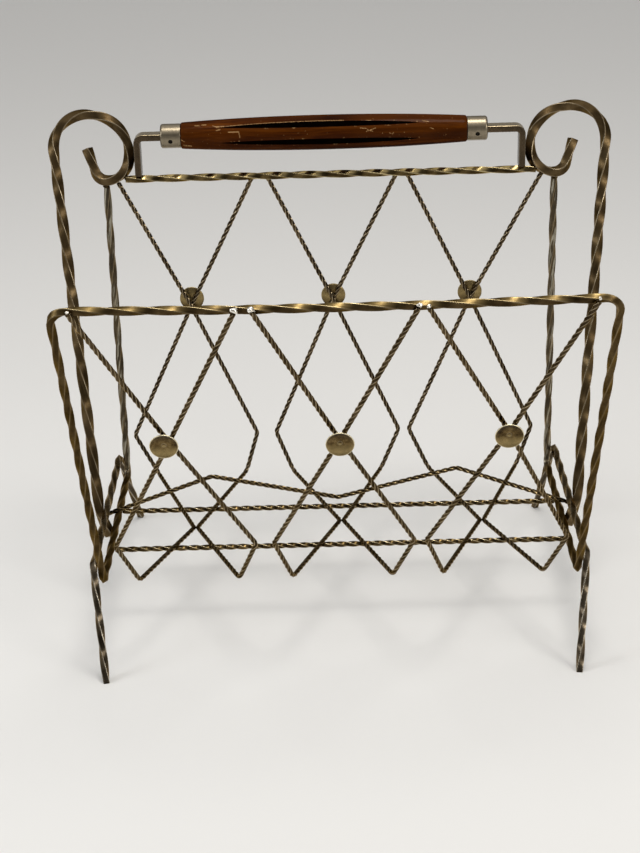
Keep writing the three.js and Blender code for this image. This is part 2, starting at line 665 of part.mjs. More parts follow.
// How far the lattice stands out from its panel's plane at a height
function panelLift(rise) {
  const touch = v3(0, RIM_Y, RIM_HEIGHT);
  const out = reach(frame, touch, OUT_FRONT_PANEL, COLUMN_PITCH) + CLEARANCE + WIRE_RADIUS;
  return (out * rise) / FRONT_PANEL_LENGTH;
}
function railLift(rise) {
  const touch = v3(0, REAR, RAIL_HEIGHT);
  const out = reach(rearRail, touch, Y, COLUMN_PITCH) + CLEARANCE + WIRE_RADIUS;
  return (out * rise) / (RAIL_HEIGHT - FLOOR_HEIGHT);
}

// Handle
const bracketSection = flatSection(BRACKET_DEPTH, BRACKET_THICKNESS, BRACKET_EDGE);
const gripEnd = (hand) => GRIP_SHIFT + (hand * GRIP_LENGTH) / 2;
const tangEnd = (hand) => gripEnd(hand) - hand * TANG_DEPTH;
function bracket(hand) {
  const foot = v3(hand * BRACKET_HALF_SPREAD, REAR, RAIL_HEIGHT);
  const seat = RAIL_HEIGHT + reach(rearRail, foot, Z, BRACKET_THICKNESS) + CLEARANCE;
  const path = bentPath([
    { at: v3(foot.x, REAR, seat) },
    { at: v3(foot.x, REAR, GRIP_HEIGHT), bend: BRACKET_BEND },
    { at: v3(tangEnd(hand) + hand * CLEARANCE, REAR, GRIP_HEIGHT) },
  ]);
  return rodGeometry(rod(path, bracketSection, { across: Y }));
}

// A turned shape along the grip's axis, from a list of [place along X, radius]
function turned(profile, sides) {
  const points = profile.map(([x, radius]) => new THREE.Vector2(radius, x));
  const geometry = new THREE.LatheGeometry(points, sides);
  return geometry.rotateZ(-Math.PI / 2).translate(0, REAR, GRIP_HEIGHT);
}
function tangSlot(hand, clearance) {
  const section = flatSection(
    BRACKET_DEPTH + 2 * clearance,
    BRACKET_THICKNESS + 2 * clearance,
    BRACKET_EDGE,
  );
  const outer = gripEnd(hand) + hand * (FERRULE_LENGTH + CUT_OVERRUN);
  const path = bentPath([
    { at: v3(tangEnd(hand), REAR, GRIP_HEIGHT) },
    { at: v3(outer, REAR, GRIP_HEIGHT) },
  ]);
  return toSolid(rodGeometry(rod(path, section, { across: Y })));
}
const pinDirection = v3(0, -Math.cos(PIN_ELEVATION), Math.sin(PIN_ELEVATION));
function pinCylinder(hand, radius, from, to) {
  const middle = v3(gripEnd(hand) + (hand * FERRULE_LENGTH) / 2, REAR, GRIP_HEIGHT);
  const length = to - from;
  return new THREE.CylinderGeometry(radius, radius, length, WIRE_SIDES + 2)
    .applyQuaternion(new THREE.Quaternion().setFromUnitVectors(Y, pinDirection))
    .translate(...middle.addScaledVector(pinDirection, (from + to) / 2).toArray());
}
const pinOuter = FERRULE_RADIUS - PIN_RECESS;
const pinInner = pinOuter - PIN_LENGTH;
const pinHole = (hand) =>
  toSolid(
    pinCylinder(hand, PIN_HOLE_RADIUS, pinInner - CLEARANCE, FERRULE_RADIUS + CUT_OVERRUN),
  );

function ferrule(hand) {
  const at = (along, radius) => [gripEnd(hand) + hand * along, radius];
  const inner = FERRULE_RADIUS - FERRULE_WALL;
  const floor = FERRULE_LENGTH - FERRULE_WALL;
  const profile = [
    at(FERRULE_LENGTH, 0),
    at(FERRULE_LENGTH, FERRULE_RADIUS - FERRULE_CHAMFER),
    at(FERRULE_LENGTH - FERRULE_CHAMFER, FERRULE_RADIUS),
    at(CLEARANCE, FERRULE_RADIUS),
    at(CLEARANCE, inner),
    at(floor - FERRULE_CHAMFER, inner),
    at(floor, inner - FERRULE_CHAMFER),
    at(floor, 0),
  ];
  const shell = toSolid(turned(hand > 0 ? profile.reverse() : profile, LATHE_SIDES));
  return toGeometry(shell.subtract(tangSlot(hand, CLEARANCE)).subtract(pinHole(hand)));
}

function gripProfile() {
  const spigot = FERRULE_RADIUS - FERRULE_WALL - 2 * CLEARANCE;
  const spigotLength = FERRULE_LENGTH - FERRULE_WALL - FERRULE_CHAMFER;
  const swellShares = [-1, -0.97, -0.8, -0.6, -0.4, -0.2, 0, 0.2, 0.4, 0.6, 0.8, 0.97, 1];
  const swell = swellShares.map((share) => {
    const round = Math.abs(share) === 1 ? CLEARANCE : 0;
    const radius = GRIP_RADIUS - (GRIP_RADIUS - GRIP_END_RADIUS) * share * share;
    return [GRIP_SHIFT + (share * GRIP_LENGTH) / 2, radius - round];
  });
  const left = gripEnd(-1) - spigotLength;
  const right = gripEnd(1) + spigotLength;
  return [
    [left, 0],
    [left, spigot],
    [gripEnd(-1), spigot],
    ...swell,
    [gripEnd(1), spigot],
    [right, spigot],
    [right, 0],
  ];
}
// A flute is a long spindle sunk into the grip's side
function flute(index) {
  const angle = FLUTE_ELEVATION + (index * 2 * Math.PI) / FLUTE_COUNT;
  const fluteShares = [-1, -0.8, -0.55, -0.3, 0, 0.3, 0.55, 0.8, 1];
  const profile = fluteShares.map((share) => [
    FLUTE_HALF_LENGTH * share,
    Math.abs(share) === 1 ? 0 : FLUTE_RADIUS * (1 - share * share),
  ]);
  const points = profile.map(([x, radius]) => new THREE.Vector2(radius, x));
  const lift = GRIP_RADIUS + FLUTE_RADIUS - FLUTE_DEPTH;
  const sag = (GRIP_RADIUS - GRIP_END_RADIUS) * (FLUTE_HALF_LENGTH / (GRIP_LENGTH / 2)) ** 2;
  const spindle = new THREE.LatheGeometry(points, WIRE_SIDES + 2);
  spindle.rotateZ(-Math.PI / 2);
  const place = spindle.attributes.position;
  for (let i = 0; i < place.count; i++) {
    const share = place.getX(i) / FLUTE_HALF_LENGTH;
    const drop = (sag + FLUTE_RADIUS - FLUTE_DEPTH) * share * share;
    place.setY(i, place.getY(i) - lift + drop);
  }
  spindle.rotateX(-angle);
  return toSolid(spindle.translate(GRIP_SHIFT + FLUTE_SHIFT, REAR, GRIP_HEIGHT));
}
function grip() {
  let solid = toSolid(turned(gripProfile(), GRIP_SIDES));
  for (let i = 0; i < FLUTE_COUNT; i++) solid = solid.subtract(flute(i));
  for (const hand of [-1, 1]) {
    solid = solid.subtract(tangSlot(hand, CLEARANCE)).subtract(pinHole(hand));
  }
  return toGeometry(solid);
}

// The pieces
place("basket_frame", frameShape, darkBrass);
place("rear_top_rail", rodGeometry(rearRail), antiqueBrass);
for (const [name, hand] of [["left", -1], ["right", 1]]) {
  place("scroll_arm_" + name, armShapes.get(hand), darkBrass);
  place("leg_frame_" + name, legShapes.get(hand), darkBrass);
}

for (const [name, end] of [["front", -1], ["rear", 1]]) {
  const y = FLOOR_RAIL_SHIFT + (end * FLOOR_RAIL_SPACING) / 2;
  const geometry = rodGeometry(floorRail(y), { twistStep: FLOOR_TWIST_STEP });
  place("floor_rail_" + name, geometry, antiqueBrass);
}
place("divider_wire", dividerShape(), antiqueBrass);

for (const [name, column] of [["left", -1], ["middle", 0], ["right", 1]]) {
  const wires = [];
  for (const [mark, hand] of [["a", 1], ["b", -1]]) {
    const wire = rodGeometry(rod(latticePath(column, hand), wireSection));
    wires.push(toSolid(wire));
    place("lattice_wire_" + name + "_" + mark, wire, darkBrass);
  }
  medallion("front_medallion_" + name, column, true, wires);
  medallion("rear_medallion_" + name, column, false, wires);
}

for (const [name, hand] of [["left", -1], ["right", 1]]) {
  place("handle_bracket_" + name, bracket(hand), darkBrass);
  place("ferrule_" + name, ferrule(hand), satinNickel);
  place("ferrule_pin_" + name, pinCylinder(hand, PIN_RADIUS, pinInner, pinOuter), darkSteel);
}
place("wood_grip", grip(), lacqueredWood);

// The origin is the middle of the footprint, on the ground
const bounds = new THREE.Box3().setFromObject(basket);
const middle = bounds.getCenter(new THREE.Vector3());
basket.position.set(-middle.x, -middle.y, -bounds.min.z);

export default basket;
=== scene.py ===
from math import acos, atan2, ceil, cos, degrees, pi, radians, sin, sqrt, tan

import bmesh
import bpy
import numpy as np
from mathutils import Matrix, Vector


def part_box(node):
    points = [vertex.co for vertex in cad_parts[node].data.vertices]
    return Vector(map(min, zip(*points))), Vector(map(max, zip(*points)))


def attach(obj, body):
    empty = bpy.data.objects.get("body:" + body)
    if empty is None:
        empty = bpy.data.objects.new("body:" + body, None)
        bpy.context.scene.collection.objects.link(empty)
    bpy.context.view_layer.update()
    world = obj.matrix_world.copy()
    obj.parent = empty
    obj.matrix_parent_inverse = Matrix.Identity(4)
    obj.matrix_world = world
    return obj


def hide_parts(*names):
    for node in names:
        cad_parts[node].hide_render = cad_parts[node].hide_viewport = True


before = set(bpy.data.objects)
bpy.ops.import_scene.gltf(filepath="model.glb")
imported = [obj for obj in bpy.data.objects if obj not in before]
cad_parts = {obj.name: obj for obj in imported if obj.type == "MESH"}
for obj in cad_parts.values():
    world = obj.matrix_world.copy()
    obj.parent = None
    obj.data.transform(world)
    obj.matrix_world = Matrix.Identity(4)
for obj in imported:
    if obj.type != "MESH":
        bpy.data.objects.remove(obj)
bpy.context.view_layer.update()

# Sizes of the solids; sections have the side, the length of one twist and the worn corners' radius
FRAME_SIDE, FRAME_LEAD, FRAME_CORNER = 5, 114, 0.55
SCROLL_SIDE, SCROLL_LEAD, SCROLL_CORNER = 7.4, 132, 0.8
FLOOR_SIDE, FLOOR_LEAD, FLOOR_CORNER = 3.6, 41, 0.4
WIRE_SIDE, WIRE_LEAD, WIRE_CORNER, WIRE_RADIUS = 3.05, 25, 0.3, 2
# keeps the scroll rod's twisted corners inside the part's overall width
SCROLL_SHARE = 0.975
CLEARANCE = 0.3
FRAME_HALF_WIDTH, RIM_HALF_WIDTH, RIM_SAG = 190, 192.6, 2.7
FLOOR_HALF_LENGTH, FLOOR_HEIGHT = 104, 66.5
FRONT_PANEL_LENGTH, FRONT_LEAN = 312.6, radians(27)
FLOOR_BEND, RIM_BEND = 8, 12
RAIL_HEIGHT, CROWN_RADIUS, CROWN_TOP, CROWN_FLAT = 340.6, 33.3, radians(100.5), 4
SHOULDER_RADIUS, CURL_RADIUS, CURL_END_LENGTH = 27.8, 10.4, 21.1
CURL_START, CURL_STOP = radians(270), radians(342)
# each hook's place, height, radius and where it passes into the crown
HOOKS = {-1: (189.3, 18, 18.6, radians(194)), 1: (190.7, 17.1, 19.9, radians(188))}
ARM_BEND, ARM_FOOT_FORWARD, ARM_KNEE_DROP = 8, 6, 5
LEG_BAR_HEIGHT, LEG_BAR_REAR_OVERHANG, LEG_BEND = 80, 8, 9
LEG_SPLAY_FRONT, LEG_SPLAY_REAR, LEG_TUCK_FRONT, LEG_TUCK_REAR = 45.5, 40, 9.5, 11
REAR, FRONT = FLOOR_HALF_LENGTH, -FLOOR_HALF_LENGTH
RIM_Y = FRONT - FRONT_PANEL_LENGTH * sin(FRONT_LEAN)
RIM_HEIGHT = FLOOR_HEIGHT + FRONT_PANEL_LENGTH * cos(FRONT_LEAN)
COLUMN_PITCH, WIDEST_HALF, FOLD_HALF = 122, 55, 40
REAR_CROSS_RISE, FRONT_CROSS_RISE, REAR_MEDALLION_RISE = 159.7, 175.5, 162.7
REAR_WIDEST_RISE, FRONT_WIDEST_RISE = 37.5, 46.5
KISS_GAP, KISS_BEND, WIRE_BEND = -1.27, 9, 6
# how far behind the middle each column's two wires touch on the floor
KISS_SHIFT = {-1: -10.5, 0: -3.5, 1: -9}
RIM_END_OVERRUN, RAIL_END_DROP, HOOK_END_DROP, CROSSING_GAP = 2.5, 1.2, 4.3, 0.5
MEDALLION_RADIUS, MEDALLION_DISH, MEDALLION_THICKNESS = 10.6, 2.1, 0.9
MEDALLION_RAISE, MEDALLION_TILT = 2.8, radians(13)
GRIP_HEIGHT, GRIP_SHIFT, GRIP_LENGTH = 377, -4.5, 239.5615
GRIP_RADIUS, GRIP_END_RADIUS = 14.6, 11
GRIP_END_ROUND, GRIP_END_DROP = 1.2, 0.6
FERRULE_LENGTH, FERRULE_RADIUS, FERRULE_CHAMFER = 17.5, 10.2, 2
FERRULE_BORE, FERRULE_FACE, FERRULE_MOUTH = 9.3, 5, 0.35
DRILL_RADIUS, DRILL_DEPTH = 1.85, 4
BRACKET_HALF_SPREAD, BRACKET_THICKNESS, BRACKET_DEPTH = 161.981, 5.5, 13
BRACKET_BEND, BRACKET_CORNER, BRACKET_END_GAP = 5.2, 1, 4
FLUTE_COUNT, FLUTE_HALF_LENGTH, FLUTE_SHIFT = 6, 83, -3
FLUTE_HALF_WIDTH, FLUTE_DEPTH, FLUTE_ELEVATION = 2.75, 1.5, radians(-19)
PIN_ELEVATION = radians(-15.5)

# Where the solids came to rest against each other
LEG_X = 198.122
LEG_INWARD = {-1: 0.667, 1: 1.241}
ARM_INWARD = {-1: 0.19, 1: 0.763}
FOOT_TOE = (195.55, -4, 57.5)
UPRIGHT_TOP = {-1: 334.5, 1: 332.44}
RAIL_ENDS = (-173.6, 174.2)
FLOOR_RAILS = {"front": (-39, 187.6), "rear": (35, 188.5)}
FLOOR_RAIL_HEIGHT = 61.654
DIVIDER_SEAT, DIVIDER_DOWN = 72.275, 1.222
PANEL_LIFT, RAIL_LIFT = 3.276, 3.4
BRACKET_SEAT = 344.434
SETTLED = {"front": {-1: -0.304, 0: -0.268, 1: -0.557}, "rear": {-1: 0.409, 0: 0.598, 1: 0.717}}

# How far apart the points of a swept path lie
FRAME_STEP, ARM_STEP, FLOOR_STEP, WIRE_STEP, BRACKET_STEP = 2, 1.8, 1.2, 0.9, 1
ARC_STEP, RUN_STEP, BEND_STEP, LEAST_BEND_STEPS = 1.2, 1.5, 1, 3

# How far the rim's painted golden highlight reaches down the front uprights, and the rear uprights'
# painted silvery reflection to the front
HIGHLIGHT_BAND, HIGHLIGHT_FADE = 16, 9
REFLECTION_BAND, REFLECTION_FADE = 14, 8

# The basket's middle in the frame, read off a ferrule
low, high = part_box("ferrule_right")
SHIFT = np.array(
    [
        low.x * 1000 - (GRIP_SHIFT + GRIP_LENGTH / 2 + CLEARANCE),
        (low.y + high.y) * 500 - REAR,
        (low.z + high.z) * 500 - GRIP_HEIGHT,
    ]
)


def metres(points):
    return (np.asarray(points, float) + SHIFT) / 1000


# ------------------------------------------------ materials
# Depths of the relief, in metres
STREAK_DEPTH, GRIT_DEPTH, DENT_DEPTH, GRAIN_DEPTH = 0.00006, 0.00005, 0.0009, 0.00025

# golden polish for worn edges, and the colour of the painted highlight on upward faces
GOLD_POLISH_AND_HIGHLIGHT = (1, 0.82, 0.47)


def feed(t, socket, value):
    """Links a node's output to a socket, or sets the socket itself"""
    if isinstance(value, bpy.types.NodeSocket):
        t.links.new(value, socket)
    else:
        socket.default_value = (*value, 1) if socket.type == "RGBA" else value


def fill(t, node, **values):
    """Feeds a node's sockets by name, with _ for a space"""
    for name, value in values.items():
        feed(t, node.inputs[name.replace("_", " ")], value)
    return node


def new_node(t, kind, **values):
    return fill(t, t.nodes.new("ShaderNode" + kind), **values)


def new_material(name, **values):
    m = bpy.data.materials.new(name)
    m.use_nodes = True
    t = m.node_tree
    return m, t, fill(t, t.nodes["Principled BSDF"], **values)


def attribute(t, name, output="Fac"):
    a = new_node(t, "Attribute")
    a.attribute_name = name
    return a.outputs[output]


def noise(
    t, scale, detail=3, rough=0.6, stretch=(1, 1, 1), distortion=0, shift=(0, 0, 0), vector=None
):
    """Noise over the whole object, or along another vector"""
    if vector is None:
        vector = new_node(t, "TexCoord").outputs["Object"]
    mapping = new_node(t, "Mapping", Vector=vector, Scale=stretch, Location=shift)
    n = new_node(t, "TexNoise", Vector=mapping.outputs["Vector"], Scale=scale, Detail=detail)
    return fill(t, n, Roughness=rough, Distortion=distortion).outputs["Fac"]


def along_rod(t, scale, detail, stretch, shift=0):
    """Noise drawn out along a rod, from its own distance and section coordinates"""
    rod = attribute(t, "rod", "Vector")
    return noise(t, scale, detail, stretch=(1 / stretch, 1, 1), shift=(shift,) * 3, vector=rod)


def ramp(t, value, stops):
    r = new_node(t, "ValToRGB", Fac=value)
    elements = r.color_ramp.elements
    while len(elements) > 1:
        elements.remove(elements[-1])
    elements[0].position = stops[0][0]
    elements[0].color = (*stops[0][1], 1)
    for at, color in stops[1:]:
        elements.new(at).color = (*color, 1)
    return r.outputs["Color"]


def span(t, value, from_low, from_high, to_low=0, to_high=1):
    m = new_node(t, "MapRange", Value=value, From_Min=from_low, From_Max=from_high)
    return fill(t, m, To_Min=to_low, To_Max=to_high).outputs["Result"]


def math_node(t, operation, a, b, clamp=False):
    m = new_node(t, "Math")
    m.operation = operation
    m.use_clamp = clamp
    feed(t, m.inputs[0], a)
    feed(t, m.inputs[1], b)
    return m.outputs["Value"]


def mix(t, fac, a, b):
    m = new_node(t, "Mix")
    m.data_type = "RGBA"
    m.clamp_factor = True
    for i, value in ((0, fac), (6, a), (7, b)):
        feed(t, m.inputs[i], value)
    return m.outputs[2]


def upward(t):
    """The height part of a face's direction: 1 on a level top, 0 on a wall, -1 underneath"""
    normal = new_node(t, "NewGeometry").outputs["Normal"]
    return new_node(t, "SeparateXYZ", Vector=normal).outputs["Z"]


def bump(t, shader, height, distance, strength, **normal):
    b = new_node(t, "Bump", Height=height, Distance=distance, Strength=strength, **normal)
    fill(t, shader, Normal=b.outputs["Normal"])
    return b.outputs["Normal"]


def rod_metal(
    name, tarnish, body, bright, polish, rough, worn=0.8, patch=45, dust=0.4, first=0.3,
    top_highlight_color=(0.2, 0.14, 0.055), lacquer=0
):
    """Browned rod in patches of tarnish, body and bright, with streaks and specks

    An edge starts at first and is worn down to polish. Upward faces of rim and rail get a painted
    golden highlight; the rear uprights get painted silvery reflections.
    """
    m, t, shader = new_material(name, Metallic=1, Coat_Weight=lacquer, Coat_Roughness=0.13)
    fill(t, shader, Specular_Tint=(0.8, 0.64, 0.44))
    broad = noise(t, patch, 4, 0.65)
    fine = noise(t, 420, 4, 0.7, shift=(0.3, 0.1, 0.7))
    streak = along_rod(t, 520, 3, 14)
    rub_noise = along_rod(t, 160, 3, 2.5, 0.37)
    edge = span(t, attribute(t, "edge"), first, 1)
    flat = ramp(t, broad, [(0.36, tarnish), (0.5, body), (0.68, bright)])
    flat = mix(t, span(t, streak, 0.45, 0.72, 0, 0.5), flat, bright)
    flat = mix(t, span(t, fine, 0.52, 0.72, 0, dust), flat, tarnish)
    # painted silvery reflection streaks on the rear uprights
    painted_reflection_streaks = span(t, streak, 0.52, 0.62, 0.08, 0.9)
    flat = mix(t, math_node(t, "MULTIPLY", attribute(t, "painted_reflection"), painted_reflection_streaks), flat, (0.4, 0.37, 0.29))
    rub = math_node(t, "MULTIPLY", edge, span(t, rub_noise, 0.36, 0.6, 1, 0.35))
    rub = math_node(t, "MULTIPLY", rub, worn)
    # painted golden highlight on faces turned up, in the rim's band and on the rear rail
    painted_highlight = math_node(t, "MULTIPLY", attribute(t, "painted_highlight"), span(t, upward(t), 0.2, 0.8))
    painted_highlight_streaks = math_node(t, "MULTIPLY", painted_highlight, span(t, streak, 0.35, 0.6, 0.25))
    flat = mix(t, painted_highlight_streaks, flat, top_highlight_color)
    dull = span(t, broad, 0.35, 0.68, rough[1], rough[0])
    dull = math_node(t, "ADD", dull, span(t, fine, 0.4, 0.7, -0.03, 0.08))
    dull = math_node(t, "MULTIPLY", dull, span(t, rub, 0, 0.8, 1, 0.5))
    # worn edges, turned golden where the painted highlight lies
    color = mix(t, rub, flat, mix(t, painted_highlight, polish, GOLD_POLISH_AND_HIGHLIGHT))
    fill(t, shader, Base_Color=color, Roughness=dull)
    lines = bump(t, shader, streak, STREAK_DEPTH, 0.5)
    bump(t, shader, fine, GRIT_DEPTH, 0.4, Normal=lines)
    return m


dark_rod = rod_metal(
    "antique_bronze_rod", tarnish=(0.021, 0.013, 0.0047), body=(0.05, 0.031, 0.012),
    bright=(0.088, 0.059, 0.025), polish=(0.3, 0.225, 0.13), rough=(0.28, 0.42), lacquer=0.03
)
leg_rod = rod_metal(
    "leg_bronze", tarnish=(0.026, 0.019, 0.011), body=(0.064, 0.048, 0.03),
    bright=(0.14, 0.112, 0.076), polish=(0.78, 0.7, 0.57), rough=(0.2, 0.34), worn=0.85, patch=30,
    lacquer=0.08
)
scroll_rod = rod_metal(
    "bronze_scroll_rod", tarnish=(0.036, 0.0225, 0.0095), body=(0.074, 0.048, 0.0205),
    bright=(0.128, 0.088, 0.043), polish=(0.58, 0.48, 0.33), rough=(0.3, 0.42), patch=24, dust=0.25,
    first=0.42, lacquer=0.04
)
# the rail's upward faces take a painted golden highlight
rail_rod = rod_metal(
    "golden_rail", tarnish=(0.018, 0.011, 0.004), body=(0.055, 0.036, 0.013),
    bright=(0.15, 0.104, 0.042), polish=GOLD_POLISH_AND_HIGHLIGHT, rough=(0.14, 0.24), worn=0.95,
    top_highlight_color=(0.55, 0.42, 0.19)
)
bright_rod = rod_metal(
    "golden_rod", tarnish=(0.014, 0.0085, 0.003), body=(0.04, 0.026, 0.0095),
    bright=(0.11, 0.074, 0.03), polish=(1, 0.85, 0.56), rough=(0.11, 0.2), worn=1, first=0.48
)
divider_metal = rod_metal(
    "divider_rod", tarnish=(0.014, 0.0085, 0.003), body=(0.034, 0.022, 0.0085),
    bright=(0.085, 0.057, 0.024), polish=(0.45, 0.34, 0.18), rough=(0.1, 0.2), worn=0.9, first=0.66
)
lattice_metal = rod_metal(
    "lattice_wire", tarnish=(0.015, 0.0095, 0.0045), body=(0.044, 0.03, 0.0145),
    bright=(0.09, 0.064, 0.034), polish=(0.48, 0.39, 0.26), rough=(0.09, 0.18), worn=0.95, patch=60,
    first=0.78
)


def bracket_metal():
    """Plain flat bar: a painted highlight on its top, a painted dark reflection band under it and a
    brown front
    """
    m, t, shader = new_material("bracket_bar", Metallic=1)
    broad = noise(t, 60, 4, 0.6)
    fine = noise(t, 700, 3, 0.6)
    body = ramp(t, broad, [(0.35, (0.026, 0.016, 0.008)), (0.65, (0.07, 0.046, 0.024))])
    body = mix(t, math_node(t, "MULTIPLY", attribute(t, "edge"), 0.2), body, (0.45, 0.37, 0.26))
    # painted dark reflection: a dark band where the faces turn partly up
    painted_dark_reflection = math_node(t, "MULTIPLY", span(t, upward(t), 0.2, 0.35), 0.85)
    color = mix(t, painted_dark_reflection, body, (0.014, 0.01, 0.006))
    # painted highlight: a light top where the faces turn up
    color = mix(t, span(t, upward(t), 0.5, 0.75), color, (0.5, 0.4, 0.25))
    color = mix(t, span(t, fine, 0.56, 0.74, 0, 0.5), color, (0.04, 0.028, 0.018))
    fill(t, shader, Base_Color=color, Roughness=span(t, fine, 0.3, 0.7, 0.22, 0.36))
    bump(t, shader, fine, GRIT_DEPTH, 0.4)
    return m


def weld_metal():
    m, t, shader = new_material("weld_bead", Metallic=1)
    n = noise(t, 900, 3, 0.6)
    color = ramp(t, n, [(0.3, (0.62, 0.55, 0.42)), (0.55, (0.95, 0.92, 0.85))])
    fill(t, shader, Base_Color=color, Roughness=span(t, n, 0.3, 0.7, 0.2, 0.36))
    bump(t, shader, n, GRIT_DEPTH, 0.4)
    return m


def medallion_metal():
    """Dull brass with painted shade where it faces down, a painted golden highlight where it faces
    up, and worn along the rim
    """
    m, t, shader = new_material("dished_brass", Metallic=1)
    broad = noise(t, 160, 4, 0.7)
    fine = noise(t, 900, 4, 0.7)
    rim = attribute(t, "edge")
    shades = [
        (0.32, (0.03, 0.018, 0.0065)),
        (0.5, (0.105, 0.068, 0.025)),
        (0.7, (0.225, 0.157, 0.068)),
    ]
    color = ramp(t, broad, shades)
    color = mix(t, span(t, fine, 0.52, 0.7, 0, 0.6), color, (0.045, 0.028, 0.012))
    # painted shade on faces turned down
    color = mix(t, span(t, upward(t), -0.62, -0.34, 0.85, 0), color, (0.02, 0.012, 0.004))
    # painted golden highlight on faces that are level or turned up
    color = mix(t, span(t, upward(t), -0.25, 0, 0, 0.6), color, (0.36, 0.27, 0.12))
    color = mix(t, math_node(t, "POWER", rim, 2), color, (0.9, 0.8, 0.55))
    fill(t, shader, Base_Color=color, Roughness=span(t, fine, 0.3, 0.7, 0.2, 0.36))
    dents = bump(t, shader, broad, DENT_DEPTH, 0.6)
    bump(t, shader, fine, 2 * GRIT_DEPTH, 0.5, Normal=dents)
    return m


def ferrule_metal():
    m, t, shader = new_material("brushed_ferrule", Metallic=1)
    turned_lines = noise(t, 60, 5, 0.75, stretch=(60, 1, 1))
    fine = noise(t, 1400, 3, 0.6)
    color = ramp(t, turned_lines, [(0.3, (0.21, 0.172, 0.118)), (0.7, (0.3, 0.255, 0.185))])
    color = mix(t, span(t, fine, 0.55, 0.75, 0, 0.35), color, (0.13, 0.105, 0.075))
    fill(t, shader, Base_Color=color, Roughness=span(t, turned_lines, 0.3, 0.7, 0.26, 0.36))
    bump(t, shader, turned_lines, STREAK_DEPTH, 0.5)
    return m


def pin_metal():
    m, t, shader = new_material("dark_pin_and_hole_shade", Metallic=1)
    n = noise(t, 1200, 3)
    color = ramp(t, n, [(0.3, (0.01, 0.009, 0.008)), (0.7, (0.04, 0.034, 0.028))])
    fill(t, shader, Base_Color=color, Roughness=span(t, n, 0.3, 0.7, 0.45, 0.7))
    return m


def vector_node(t, operation, *values, **named):
    m = new_node(t, "VectorMath")
    m.operation = operation
    for socket, value in zip(m.inputs, values):
        feed(t, socket, value)
    return fill(t, m, **named)


def segment(t, coord, a, b, width):
    """1 within a thin scratch from a to b, in metres, 0 elsewhere"""
    a, b = Vector(a), Vector(b)
    away = vector_node(t, "SUBTRACT", coord, a).outputs["Vector"]
    along = vector_node(t, "DOT_PRODUCT", away, (b - a) / (b - a).length_squared)
    share = math_node(t, "ADD", along.outputs["Value"], 0, clamp=True)
    foot = vector_node(t, "SCALE", b - a, Scale=share)
    rest = vector_node(t, "DISTANCE", away, foot.outputs["Vector"])
    return span(t, rest.outputs["Value"], width * 0.5, width * 1.1, 1, 0)


def grip_radius(share):
    """The grip's radius at a share of its half length"""
    return GRIP_RADIUS - (GRIP_RADIUS - GRIP_END_RADIUS) * share * share


def grip_point(x, elevation):
    """A place on the grip's skin, in metres"""
    radius = grip_radius((x - GRIP_SHIFT) / (GRIP_LENGTH / 2))
    a = radians(elevation)
    return metres([x, REAR - radius * cos(a), GRIP_HEIGHT + radius * sin(a)])


SCRATCHES = [
    # x, elevation in degrees, x, elevation, width
    (-95, 46, -60, 41.5, 0.55),
    (-84, 22, -75.5, 22, 0.6),
    (-75.5, 22, -74.5, 2, 0.55),
    (-94, 30, -91, 33, 0.6),
    (-97, 50, -92, 41, 0.5),
    (30, 22, 36, 12, 0.6),
    (31, 12, 39, 23, 0.45),
    (26, 24, 31, 21, 0.5),
    (22, -24, 29, -22, 0.6),
    (24, -27, 27, -24, 0.5),
    (-112, 56, -108, 55, 0.7),
    (-106, 57, -103, 57, 0.7),
    (84, 20, 87, 15, 0.4),
    (78, 48, 83, 44, 0.5),
    (-122, -33, -116, -37, 0.9),
    (-124, -5, -121, -14, 0.5),
    (50, 5, 53, 1, 0.3),
    (-30, 52, -6, 50.5, 0.35),
]
# The second flute's upper lip is worn from one x to another, in so many points
WORN_LIP = (-94, 12, 7)
WORN_LIP_OFFSET, WORN_LIP_WIDTH = 0.3, 0.55


def worn_lip_elevation(x):
    reach = (flute_half_width(x) + WORN_LIP_OFFSET) / GRIP_RADIUS
    return degrees(FLUTE_ELEVATION + 2 * pi / FLUTE_COUNT + reach)


